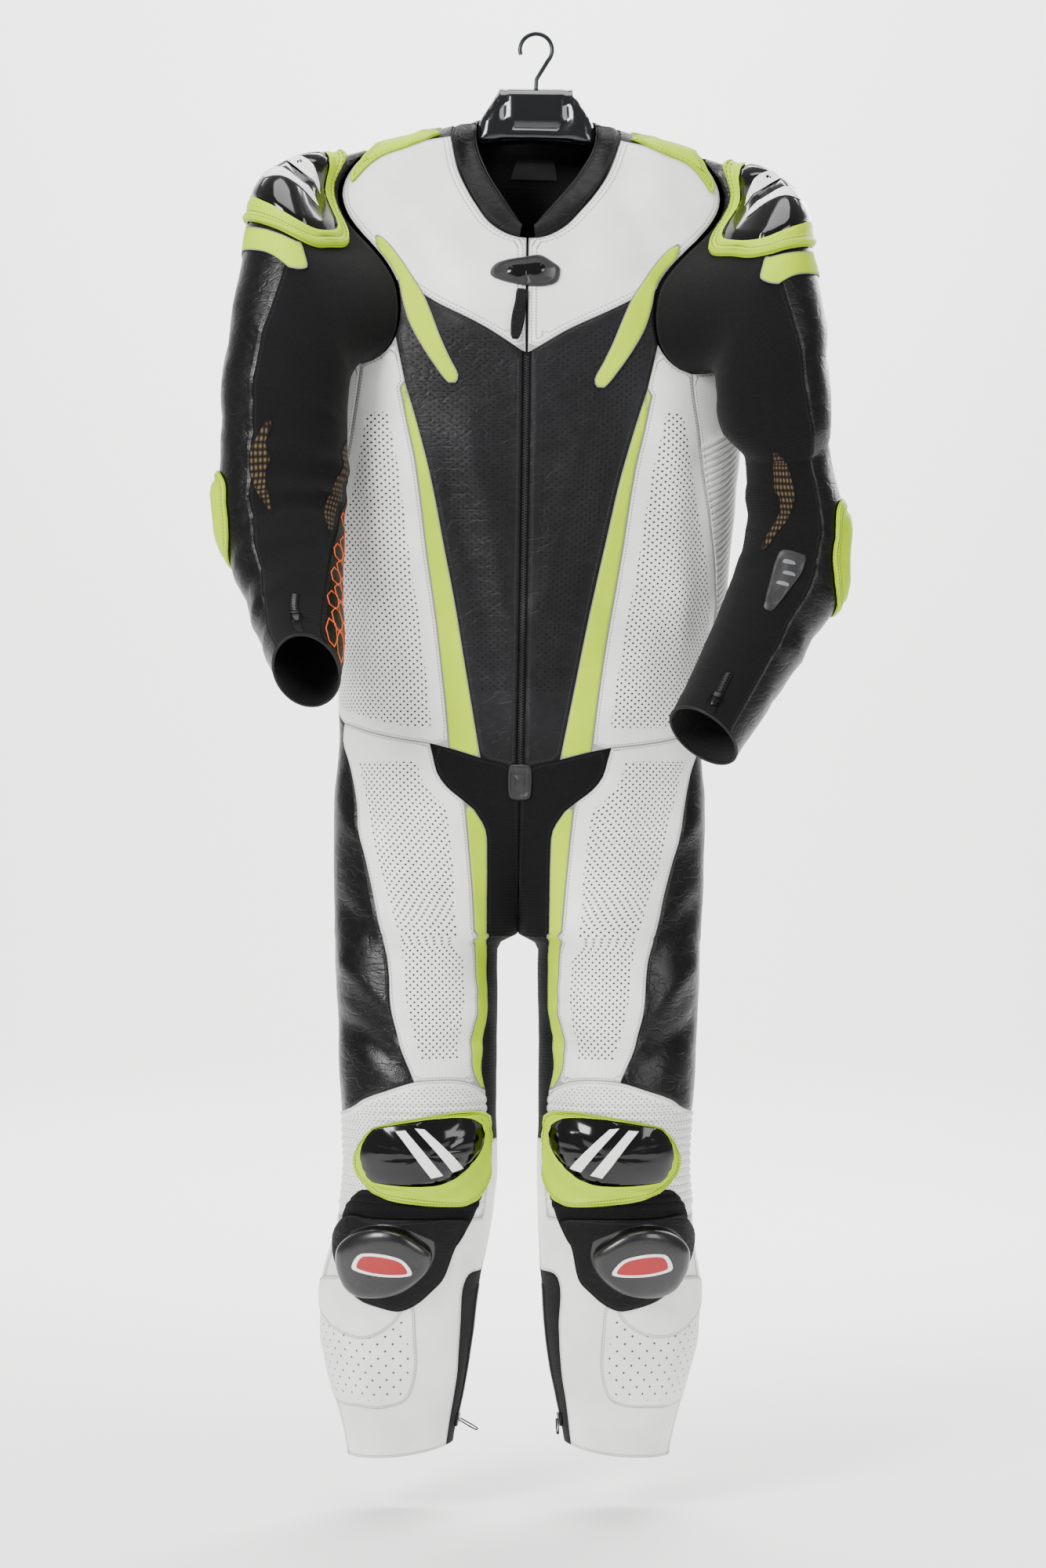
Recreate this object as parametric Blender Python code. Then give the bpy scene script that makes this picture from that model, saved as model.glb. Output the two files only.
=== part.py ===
"""One-piece motorcycle race suit, filled out as it hangs on a broad moulded hanger.

All sizes below are millimetres. "drop" is the distance below the crown of the hanger's hook, where the
origin lies. +X is the wearer's left, the suit faces -Y and +Z is up.
"""
import math

import bmesh
import bpy
from mathutils import Vector
from mathutils.bvhtree import BVHTree

MM = 0.001

# ---------------------------------------------------------------- driving dimensions
LEATHER = 1.6            # wall of the leather panels
STRETCH = 1.5            # wall of the knitted stretch panels
GAP = 0.3                # between two pieces that touch
OVERLAY = 1.4            # wall of what is sewn on top of a panel
RING_POWER = 2.3         # squareness of the torso's sections
CROTCH_DROP = 1034       # here the two legs have parted
PATTERN_WIDTH = 620      # pattern length of one half turn of the torso, or of one turn of a leg
SLEEVE_WIDTH = 430       # pattern length of one turn of a sleeve
CELL_ACROSS = 38.75      # spacing of the body's mesh, round it, an even share of PATTERN_WIDTH
CELL_ALONG = 76          # and down it
SEAM_STEP = 33           # longest straight run along a seam

# Sections of the torso. Half width at the side, depth of the front and of the back.
TORSO_ROWS = (
    # drop, half_width, front, back
    (108, 88, 55, 62), (111, 95, 56, 63), (117, 118, 58, 66), (125, 148, 61, 70), (132, 176, 64, 74),
    (142, 200, 67, 77), (156, 222, 70, 79), (174, 236, 74, 82), (191, 243, 80, 86), (205, 247, 85, 90),
    (267, 248, 98, 100), (387, 247, 110, 100), (472, 245, 113, 98), (530, 239, 111, 95),
    (585, 235, 106, 92), (643, 230, 101, 87), (676, 222, 98, 84), (739, 211, 93, 82), (819, 207, 92, 88),
    (881, 212, 95, 95), (935, 213, 97, 98), (988, 213, 97, 98), (1034, 209, 96, 97),
    (1640, 209, 96, 97),
)
# How far each height has turned from one torso into two legs, 0 to 1.
SPLIT_ROWS = ((108, 0.0), (819, 0.0), (881, 0.08), (935, 0.35), (988, 0.62), (1034, 1.0), (1640, 1.0))
# Sections of a leg. Inner and outer edge from the suit's middle, its centre's depth, its half depth.
LEG_ROWS = (
    # drop, inner, outer, centre_y, half_depth
    (108, 2.2, 209, -6, 92), (881, 2.2, 212, -6, 92), (1034, 2.2, 209, -10, 90),
    (1037, 10, 209, -10, 90),
    (1042, 19, 208, -11, 89), (1055, 25, 208, -12, 88), (1130, 25, 204, -22, 84),
    (1202, 25, 201, -40, 77), (1286, 24, 195, -55, 67), (1362, 28, 201, -48, 62),
    (1447, 38, 216, -35, 54), (1490, 42, 215, -26, 52), (1526, 47, 209, -18, 50),
    (1555, 53, 202, -12, 48), (1591, 60, 192, -5, 46), (1640, 67, 184, 0, 45),
)
# The suit hangs a little askew: sideways shift of the middle, and slope across the width.
LEAN_ROWS = (
    # drop, shift, slope
    (0, 0, 0.0), (108, 0, 0.02), (185, -5, 0.032), (249, -10, 0.032), (382, -11, 0.032),
    (596, -14, 0.03), (819, -18, 0.026), (1041, -21, 0.012), (1286, -22, 0.0), (1486, -31, 0.0),
    (1640, -32, 0.0),
)


# ---------------------------------------------------------------- reading the tables
def slope_at(rows, index, column):
    """Slope of one column at a row, held flat where the column turns round."""
    if index in (0, len(rows) - 1):
        return 0.0
    before, here, after = rows[index - 1], rows[index], rows[index + 1]
    rise = (here[column] - before[column]) / (here[0] - before[0])
    fall = (after[column] - here[column]) / (after[0] - here[0])
    if rise * fall <= 0:
        return 0.0
    return 2 * rise * fall / (rise + fall)


def read_rows(rows, drop):
    """All columns of a table at one drop, on a smooth curve through its rows."""
    if drop <= rows[0][0]:
        return rows[0][1:]
    if drop >= rows[-1][0]:
        return rows[-1][1:]
    index = 0
    while rows[index + 1][0] < drop:
        index += 1
    low, high = rows[index], rows[index + 1]
    span = high[0] - low[0]
    f = (drop - low[0]) / span
    keep = (1 + 2 * f) * (1 - f) ** 2
    pull = f * (1 - f) ** 2 * span
    push = -f * f * (1 - f) * span
    values = []
    for column in range(1, len(low)):
        values.append(keep * low[column] + (1 - keep) * high[column]
                      + pull * slope_at(rows, index, column) + push * slope_at(rows, index + 1, column))
    return values


# ---------------------------------------------------------------- the body's surface
def pattern_lengths():
    """Length down the suit's side at each whole drop, so that the sloping shoulders aren't squeezed."""
    lengths = [0.0]
    last = read_rows(TORSO_ROWS, 100)
    for drop in range(101, 1661):
        here = read_rows(TORSO_ROWS, drop)
        lengths.append(lengths[-1] + math.hypot(1.0, 0.7 * (here[0] - last[0])))
        last = here
    return lengths


LENGTHS = pattern_lengths()


def length_at(drop):
    """Pattern length at a drop."""
    whole = min(max(int(drop) - 100, 0), len(LENGTHS) - 2)
    return LENGTHS[whole] + (LENGTHS[whole + 1] - LENGTHS[whole]) * (drop - 100 - whole)


def drop_at(length):
    """Drop at a pattern length."""
    low, high = 0, len(LENGTHS) - 1
    while high - low > 1:
        middle = (low + high) // 2
        if LENGTHS[middle] <= length:
            low = middle
        else:
            high = middle
    return 100 + low + (length - LENGTHS[low]) / (LENGTHS[high] - LENGTHS[low])


def torso_section(turn, drop):
    """Point of a half section of the torso. turn is 0 at the front, 0.5 at the side and 1 at the back."""
    half_width, front, back = read_rows(TORSO_ROWS, drop)
    across, along = math.sin(math.pi * turn), math.cos(math.pi * turn)
    reach = (abs(across) ** RING_POWER + abs(along) ** RING_POWER) ** (-1 / RING_POWER)
    depth = front if along > 0 else back
    return half_width * across * reach, -depth * along * reach


def leg_section(turn, drop):
    """Point of a leg's section. turn is 0 at its inner side, 0.25 in front and 0.5 at its outer side."""
    inner, outer, centre_y, half_depth = read_rows(LEG_ROWS, drop)
    angle = 2 * math.pi * turn
    middle, half = (inner + outer) / 2, (outer - inner) / 2
    return middle - half * math.cos(angle), centre_y - half_depth * math.sin(angle)


def half_point(turn, drop):
    """Point of the left half of the body, before it leans."""
    split = read_rows(SPLIT_ROWS, drop)[0]
    if split >= 1:
        return leg_section(turn, drop)
    x, y = torso_section(turn, drop)
    if split > 0:
        leg_x, leg_y = leg_section(turn, drop)
        x, y = x + (leg_x - x) * split, y + (leg_y - y) * split
    return x, y


def lean(x, y, drop):
    """Place of a point once the suit hangs askew."""
    shift, slope = read_rows(LEAN_ROWS, drop)
    return Vector((x + shift, y, -drop - x * slope))


def body_surface(side, wraps):
    """Surface of one side of the body in pattern lengths. wraps is "leg" or "torso"."""
    def point(u, v):
        turn, drop = u / PATTERN_WIDTH, drop_at(v)
        sign = side
        if wraps == "leg":
            if turn < 0 and (drop >= CROTCH_DROP or turn < -0.004):
                turn += 1
            turn = max(turn, 0.0) if turn <= 1 else turn - 1
        elif turn < 0:
            turn, sign = -turn, -side
        elif turn > 1:
            turn, sign = 2 - turn, -side
        x, y = half_point(turn, drop)
        return lean(sign * x, y, drop)
    return point


def front(x, drop):
    """Pattern point in front, at a distance from the suit's middle."""
    low, high = 0.0, 0.5
    for _ in range(30):
        middle = (low + high) / 2
        if half_point(middle, drop)[0] < x:
            low = middle
        else:
            high = middle
    return low * PATTERN_WIDTH, length_at(drop)


def at(turn, drop):
    """Pattern point at a share of the turn."""
    return turn * PATTERN_WIDTH, length_at(drop)


# ---------------------------------------------------------------- seams
def curve_run(points, step):
    """Even points on a smooth curve through the given ones, in one list for each pair of them."""
    count = len(points)
    slopes = []
    for i in range(count):
        before, after = points[max(i - 1, 0)], points[min(i + 1, count - 1)]
        span = math.dist(before, points[i]) + math.dist(points[i], after)
        slopes.append([(after[k] - before[k]) / span for k in range(2)])
    runs = []
    for i in range(count - 1):
        start, end = points[i], points[i + 1]
        chord = math.dist(start, end)
        pieces = max(1, math.ceil(chord / step - 0.25))
        run = []
        for piece in range(pieces + 1):
            f = piece / pieces
            keep = (1 + 2 * f) * (1 - f) ** 2
            pull, push = f * (1 - f) ** 2 * chord, -f * f * (1 - f) * chord
            run.append(tuple(keep * start[k] + (1 - keep) * end[k] + pull * slopes[i][k]
                             + push * slopes[i + 1][k] for k in range(2)))
        runs.append(run)
    return runs


class Seam:
    """A seam line in pattern lengths. Panels on both of its sides take the same points from it."""

    def __init__(self, points, step=SEAM_STEP):
        self.ends = list(points)
        self.runs = curve_run(points, step)

    def part(self, first=0, last=None):
        """Points from one given point of the seam to another, in either direction."""
        last = len(self.ends) - 1 if last is None else last
        low, high = min(first, last), max(first, last)
        points = [self.ends[low]]
        for run in self.runs[low:high]:
            points += run[1:]
        return points if first <= last else points[::-1]


def join(*runs):
    """One closed outline out of runs that meet end to end."""
    outline = []
    for run in runs:
        for point in run:
            if not outline or math.dist(point, outline[-1]) > 0.05:
                outline.append(point)
    while math.dist(outline[0], outline[-1]) < 0.05:
        outline.pop()
    return outline


# ---------------------------------------------------------------- making solids
def normal_at(surface, u, v, facing):
    """Outward unit normal. facing is 1 or -1 for the surface's hand."""
    step = 0.6
    along_u = surface(u + step, v) - surface(u - step, v)
    along_v = surface(u, v + step) - surface(u, v - step)
    return along_u.cross(along_v).normalized() * facing


def inset_outline(surface, outline, distance):
    """The outline moved inwards by a real distance, measured on the surface."""
    area = sum(a[0] * b[1] - b[0] * a[1] for a, b in zip(outline, outline[1:] + outline[:1]))
    turn = 1 if area > 0 else -1
    moved = []
    count = len(outline)
    for i, (u, v) in enumerate(outline):
        scale_u = max((surface(u + 1, v) - surface(u - 1, v)).length / 2, 0.25)
        scale_v = max((surface(u, v + 1) - surface(u, v - 1)).length / 2, 0.25)
        before, after = outline[i - 1], outline[(i + 1) % count]
        come = Vector(((u - before[0]) * scale_u, (v - before[1]) * scale_v)).normalized()
        leave = Vector(((after[0] - u) * scale_u, (after[1] - v) * scale_v)).normalized()
        side_in = Vector((-come.y, come.x)) * turn
        side_out = Vector((-leave.y, leave.x)) * turn
        mitre = side_in + side_out
        mitre /= max(mitre.length_squared / 2, 0.35)
        moved.append((u + mitre.x * distance / scale_u, v + mitre.y * distance / scale_v))
    return moved


def even_cuts(low, high, step):
    """Cut places on one shared grid, so that neighbours are cut at the same places."""
    return [k * step for k in range(math.ceil(low / step), math.floor(high / step) + 1)]


def flat_sheet(outline, cuts_u, cuts_v, slants=(), snap=4.0):
    """A flat mesh with the given outline, cut along lines across, lines down and slanted lines."""
    sheet = bmesh.new()
    sheet.faces.new([sheet.verts.new((u, v, 0)) for u, v in outline])
    planes = [((u, 0, 0), (1, 0, 0)) for u in cuts_u] + [((0, v, 0), (0, 1, 0)) for v in cuts_v]
    for place, direction in planes + list(slants):
        bmesh.ops.bisect_plane(sheet, geom=sheet.verts[:] + sheet.edges[:] + sheet.faces[:],
                               plane_co=place, plane_no=direction, dist=snap)
    bmesh.ops.triangulate(sheet, faces=sheet.faces[:], quad_method="BEAUTY", ngon_method="BEAUTY")
    return sheet


def cover(*names):
    """Search tree over finished panels, for what is laid on top of them."""
    builder = bmesh.new()
    for name in names:
        builder.from_mesh(bpy.data.objects[name].data)
    tree = BVHTree.FromBMesh(builder)
    builder.free()
    return tree


def stand_off(tree, point, normal):
    """How far the panels under a point stand out from it, in millimetres."""
    hit = tree.ray_cast((point + normal * 25) * MM, -normal, 50 * MM)[0]
    if hit is None:
        return LEATHER
    return (hit / MM - point).dot(normal)


def bend_solid(name, sheet, surface, facing, lift, thickness, colour, rise=None, over=None):
    """Thickens a flat mesh and bends it onto a surface. rise(u, v) adds height to its outer points."""
    extruded = bmesh.ops.extrude_face_region(sheet, geom=sheet.faces[:])
    for item in extruded["geom"]:
        if isinstance(item, bmesh.types.BMVert):
            item.co.z = 1
    for vert in sheet.verts:
        u, v, layer = vert.co
        height = lift + layer * (thickness + (rise(u, v) if rise else 0.0))
        point, normal = surface(u, v), normal_at(surface, u, v, facing)
        if over:
            height += stand_off(over, point, normal)
        vert.co = (point + normal * height) * MM
    bmesh.ops.recalc_face_normals(sheet, faces=sheet.faces[:])
    if sheet.calc_volume(signed=True) < 0:
        bmesh.ops.reverse_faces(sheet, faces=sheet.faces[:])
    return finish_object(name, sheet, colour)


def finish_object(name, mesh_builder, colour):
    """Turns a bmesh in metres into a named object with its own material."""
    mesh = bpy.data.meshes.new(name)
    mesh_builder.to_mesh(mesh)
    mesh_builder.free()
    made = bpy.data.objects.new(name, mesh)
    bpy.context.scene.collection.objects.link(made)
    made.data.materials.append(material(name, *colour))
    mesh.shade_smooth()
    mesh.set_sharp_from_angle(angle=math.radians(40))
    return made


def linear(part):
    """Linear value of one sRGB channel from 0 to 255."""
    share = part / 255
    return share / 12.92 if share <= 0.04045 else ((share + 0.055) / 1.055) ** 2.4


def material(name, shade, roughness, metallic=0.0):
    """A node's own Principled material from a hex shade."""
    made = bpy.data.materials.new(name)
    made.use_nodes = True
    rgb = [linear(int(shade[i:i + 2], 16)) for i in (0, 2, 4)]
    shader = made.node_tree.nodes["Principled BSDF"]
    shader.inputs["Base Color"].default_value = (*rgb, 1)
    shader.inputs["Roughness"].default_value = roughness
    shader.inputs["Metallic"].default_value = metallic
    made.diffuse_color = (*rgb, 1)
    return made


def panel(name, outline, surface, facing, colour, **options):
    """One sewn panel: an outline on a surface, as a wall of even thickness."""
    lift = options.get("lift", 0.0)
    edge = options.get("edge", GAP / 2)
    outline = inset_outline(surface, outline, edge)
    lows = [min(point[k] for point in outline) for k in range(2)]
    highs = [max(point[k] for point in outline) for k in range(2)]
    cuts_u = options.get("cuts_u", even_cuts(lows[0] + 2, highs[0] - 2, options.get("across", CELL_ACROSS)))
    cuts_v = options.get("cuts_v", even_cuts(lows[1] + 2, highs[1] - 2, options.get("along", CELL_ALONG)))
    sheet = flat_sheet(outline, cuts_u, cuts_v, options.get("slants", ()), options.get("snap", 4.0))
    return bend_solid(name, sheet, surface, facing, lift, options.get("wall", LEATHER), colour,
                      options.get("rise"), options.get("over"))


def reach_out(outline, middle, angle):
    """Distance from a middle point to an outline, in one direction."""
    way = (math.cos(angle), math.sin(angle))
    far = 0.0
    for a, b in zip(outline, outline[1:] + outline[:1]):
        run = (b[0] - a[0], b[1] - a[1])
        cross = way[0] * run[1] - way[1] * run[0]
        if abs(cross) < 1e-9:
            continue
        gap = (a[0] - middle[0], a[1] - middle[1])
        distance = (gap[0] * run[1] - gap[1] * run[0]) / cross
        share = (gap[0] * way[1] - gap[1] * way[0]) / cross
        if distance > 0 and -1e-6 <= share <= 1 + 1e-6:
            far = max(far, distance)
    return far


def plate(name, surface, facing, colour, over, middle, rings, floors, spokes=22):
    """Solid that sits on finished panels, built of rings from its edge to its middle.

    rings are (outline, scale, height) of its face and floors are (scale, height) of its underside.
    """
    builder = bmesh.new()
    last = [math.inf] * spokes

    def corner(u, v, height):
        point, normal = surface(u, v), normal_at(surface, u, v, facing)
        return builder.verts.new(point + normal * (height + stand_off(over, point, normal)))

    def loop(outline, scale, height):
        made = []
        for index in range(spokes):
            angle = 2 * math.pi * index / spokes
            reach = min(reach_out(outline, middle, angle) * scale, last[index] - 1.0)
            last[index] = reach
            made.append(corner(middle[0] + reach * math.cos(angle),
                               middle[1] + reach * math.sin(angle), height))
        return made

    lows = [loop(rings[0][0], scale, height) for scale, height in floors]
    last[:] = [math.inf] * spokes
    tops = [loop(*ring) for ring in rings]
    loops = lows[::-1] + tops
    for low, high in zip(loops, loops[1:]):
        for i in range(spokes):
            j = (i + 1) % spokes
            builder.faces.new((low[i], low[j], high[j], high[i]))
    for ring, height in ((loops[0], floors[-1][1]), (loops[-1], rings[-1][2])):
        tip = corner(*middle, height)
        for i in range(spokes):
            builder.faces.new((ring[i], ring[(i + 1) % spokes], tip))
    return close_solid(name, builder, colour)


def close_solid(name, builder, colour):
    """Finishes a solid whose points are in millimetres."""
    bmesh.ops.scale(builder, vec=(MM, MM, MM), verts=builder.verts[:])
    bmesh.ops.triangulate(builder, faces=builder.faces[:])
    bmesh.ops.recalc_face_normals(builder, faces=builder.faces[:])
    if builder.calc_volume(signed=True) < 0:
        bmesh.ops.reverse_faces(builder, faces=builder.faces[:])
    return finish_object(name, builder, colour)


# ---------------------------------------------------------------- seam lines of the left half
# Points in front are (distance from the suit's middle, drop); at(turn, drop) is used round the side.
RIDGE = at(0.5, 134)
ARMHOLE = Seam([
    RIDGE, front(186, 144), front(202, 163), front(212, 182), front(213, 202), front(205, 222),
    front(190, 242), front(172, 262), front(157, 281), front(146, 301), front(142, 322),
    front(142, 342), front(147, 365), front(158, 381), front(172, 391), front(186, 395),
    at(0.34, 386), at(0.43, 368), at(0.52, 345), at(0.585, 313), at(0.615, 275), at(0.61, 232),
    at(0.587, 190), at(0.55, 157), RIDGE], step=30)
STRIP_CORNER, VEE_END, CHEST_CORNER, RIB_CORNER, ARMPIT, BACK_CORNER, LAST = 1, 9, 12, 15, 15, 18, 24
SHOULDER_STRIP = Seam([front(186, 144), front(158, 141), front(129, 135), front(96, 131)])
NECKLINE = Seam([front(96, 131), front(90, 156), front(83, 176), front(71, 198), front(59, 215),
                 front(44, 233), front(25, 245), front(7, 249.5), front(1.2, 250)])
BACK_NECKLINE = Seam([front(96, 131), front(95, 119), front(94, 113.5), at(0.5, 109.5),
                      at(0.65, 108.6), at(0.82, 108.3), at(1, 108.2)])
YOKE_EDGE = Seam([front(1.2, 250), front(1.2, 290), front(1.2, 335), front(1.2, 380)])
VEE = Seam([front(1.2, 380), front(5, 378.5), front(46, 353), front(100, 326), front(126, 311),
            front(146, 301)])
CHEST_EDGE = Seam([front(5, 378.5), front(5, 470), front(5, 560), front(5, 650), front(5, 750),
                   front(5, 849)])
CHEST_SIDE = Seam([front(147, 365), front(141, 392), front(136, 415)])
STRIPE_TOP = Seam([front(136, 415), front(141, 423)])
STRIPE_INNER = Seam([front(136, 415), front(123, 457), front(107, 515), front(91, 590), front(75, 668),
                     front(60.5, 748), front(44.5, 835)])
STRIPE_OUTER = Seam([front(141, 423), front(133, 463), front(123, 507), front(110, 600),
                     front(96, 692), front(87, 762), front(80, 825)])
RIB_SEAM = Seam([front(186, 395), front(189, 422), front(194, 450), front(199, 480), front(207, 530),
                 front(215, 585), front(219, 640), at(0.44, 700), at(0.46, 745), at(0.47, 786)])
RIB_BACK = Seam([at(0.52, 345), at(0.55, 440), at(0.56, 580), at(0.56, 680), at(0.56, 785)], step=40)
WING_TOP = Seam([at(0, 850), front(5, 849), front(16, 842), front(44.5, 835), front(80, 825),
                 front(102, 820)])
WING_SIDE = Seam([front(102, 820), front(98, 835), front(93, 853), front(82, 868), front(62, 884),
                  front(51, 893)])
WAIST = Seam([front(102, 820), front(133, 816), front(169, 809), front(200, 799), at(0.47, 786),
              at(0.56, 785), at(0.62, 785), at(0.8, 784), at(1, 783)])
THIGH_INNER = Seam([front(51, 893), front(38, 915), front(36, 943), front(36, 1007), front(36, 1065),
                    front(36, 1108), front(39, 1152), front(42, 1184), front(37, 1209)], step=24)
THIGH_STRIPE = Seam([front(62, 884), front(59, 915), front(55, 964), front(51, 1021), front(48, 1081),
                     front(48, 1108), front(52, 1157), front(52, 1184), front(42, 1206)], step=24)
OUTER_SEAM = Seam([front(200, 799), front(202, 818), front(193, 848), front(184, 891),
                   front(176, 934), front(165, 983), front(155, 1032), front(145, 1072),
                   front(142, 1108), front(134, 1146), front(127, 1169), front(115, 1197)], step=36)
KNEE_TOP = Seam([front(37, 1209), front(42, 1206), front(53, 1200), front(67, 1196), front(89, 1195),
                 front(115, 1197), front(146, 1207), front(169, 1216), front(185, 1228),
                 at(0.5, 1237)])
THIGH_BACK = Seam([at(0.5, 1237), at(0.6, 1250), at(0.75, 1260), at(0.86, 1264)], step=34)
SEAT_SIDE = Seam([at(0.62, 785), at(0.69, 880), at(0.78, 975), at(0.86, 1034)], step=20)
SEAT_BOTTOM = Seam([at(0.86, 1034), at(0.93, 1034), at(1, 1034)])
INSEAM_BACK = Seam([at(0.86, 1034), at(0.86, 1100), at(0.86, 1180), at(0.86, 1264)], step=40)
CROTCH_FRONT = Seam([at(0, 850), at(0, 900), at(0, 950), at(0, 1000), at(0, 1034)])
KNEE_INNER = Seam([front(37, 1209), at(0.082, 1236), at(0.08, 1264), at(0.08, 1305), at(0.08, 1351)])
KNEE_BOTTOM = Seam([at(0.08, 1351), at(0.2, 1351), at(0.33, 1351), at(0.455, 1351), at(0.5, 1351)])
KNEE_OUTER = Seam([at(0.5, 1237), at(0.5, 1290), at(0.5, 1351)])
KNEE_UNDER = Seam([at(-0.14, 1264), at(-0.02, 1264), at(0.08, 1264)])
CALF_FRONT = Seam([at(0.455, 1351), at(0.455, 1440), at(0.455, 1530), at(0.455, 1624)], step=40)
CALF_INNER = Seam([at(-0.02, 1264), at(0.0, 1340), at(0.03, 1415)], step=40)
ZIP_FRONT = Seam([at(0.03, 1415), at(0.104, 1421), at(0.1, 1480), at(0.09, 1550), at(0.08, 1621)], step=40)
ZIP_BACK = Seam([at(0.03, 1415), at(-0.02, 1421), at(-0.02, 1480), at(-0.02, 1550), at(-0.02, 1619)],
                step=40)
HEM = Seam([at(-0.02, 1619), at(0.08, 1621), at(0.25, 1630), at(0.455, 1634), at(0.6, 1632),
            at(0.8, 1624), at(0.98, 1619)], step=34)


def shift(points, turns):
    """The same points, some whole turns further round."""
    return [(u + turns * PATTERN_WIDTH, v) for u, v in points]


def across_back(points):
    """The other half's copy of points, for a panel that crosses the middle of the back."""
    return [(2 * PATTERN_WIDTH - u, v) for u, v in points]


def both_halves(*runs):
    """A panel's whole outline from its left half, which starts and ends at the middle of the back."""
    half = join(*runs)
    return join(half, across_back(half)[::-1])


# ---------------------------------------------------------------- body panels
WHITE = ("E8E8E4", 0.5)
BLACK = ("151517", 0.45)
KNIT = ("111113", 0.9)
LIME = ("D2F01E", 0.5)
RUBBER = ("1A1A1C", 0.6)
GLOSS = ("0C0D0F", 0.15)
METAL = ("3A3A3D", 0.35, 0.8)
SIDE_RIBS = 29           # raised ribs of the stretch panel at the side
SIDE_RIB_PITCH = 8.2
SIDE_RIB_SLOPE = 0.46    # how far a rib climbs towards the back
KNEE_RIB_PITCH = 9.0
KNEE_RIBS = 14
RIB_HEIGHT = 2.0


def wave(distance, pitch):
    """Triangular wave from 0 to 1."""
    share = (distance / pitch) % 1.0
    return 1 - abs(2 * share - 1)


def side_rib_options():
    """Cuts and height of the slanting ribs at the side."""
    start = length_at(412) + SIDE_RIB_SLOPE * 0.5 * PATTERN_WIDTH
    slants = []
    for index in range(2 * SIDE_RIBS + 1):
        slants.append(((0, start + index * SIDE_RIB_PITCH / 2, 0), (SIDE_RIB_SLOPE, 1, 0)))

    def rise(u, v):
        along = v + SIDE_RIB_SLOPE * u - start
        inside = -0.2 < along < SIDE_RIBS * SIDE_RIB_PITCH + 0.2
        return RIB_HEIGHT * wave(along, SIDE_RIB_PITCH) if inside else 0.0
    return {"slants": slants, "rise": rise, "snap": 0.9, "cuts_v": [length_at(710), length_at(750)],
            "cuts_u": [0.44 * PATTERN_WIDTH]}


def knee_rib_options():
    """Cuts and height of the level ribs round the knee."""
    start = length_at(1215)
    levels = [start + index * KNEE_RIB_PITCH / 2 for index in range(2 * KNEE_RIBS + 1)]

    def rise(u, v):
        inside = -0.2 < v - start < KNEE_RIBS * KNEE_RIB_PITCH + 0.2
        return RIB_HEIGHT * wave(v - start, KNEE_RIB_PITCH) if inside else 0.0
    return {"cuts_v": levels, "rise": rise, "snap": 0.9, "across": 62}


def make_torso(side, tag):
    """Panels of one half of the torso."""
    body, facing = body_surface(side, "torso"), -side
    panel("yoke_" + tag, join(
        YOKE_EDGE.part(), VEE.part(), ARMHOLE.part(VEE_END, STRIP_CORNER), SHOULDER_STRIP.part(),
        NECKLINE.part()), body, facing, WHITE)
    panel("chest_" + tag, join(
        VEE.part(1), ARMHOLE.part(VEE_END, CHEST_CORNER), CHEST_SIDE.part(), STRIPE_INNER.part(),
        WING_TOP.part(3, 1), CHEST_EDGE.part(5, 0)), body, facing, BLACK)
    panel("stripe_" + tag, join(
        STRIPE_INNER.part(), WING_TOP.part(3, 4), STRIPE_OUTER.part(6, 0), STRIPE_TOP.part(1, 0)),
        body, facing, LIME)
    panel("flank_" + tag, join(
        ARMHOLE.part(CHEST_CORNER, RIB_CORNER), RIB_SEAM.part(), WAIST.part(4, 0),
        WING_TOP.part(5, 4), STRIPE_OUTER.part(6, 0), STRIPE_TOP.part(1, 0), CHEST_SIDE.part(2, 0)),
        body, facing, WHITE)
    panel("side_ribs_" + tag, join(
        ARMHOLE.part(RIB_CORNER, BACK_CORNER), RIB_BACK.part(), WAIST.part(5, 4), RIB_SEAM.part(9, 0)),
        body, facing, WHITE, **side_rib_options())


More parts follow.
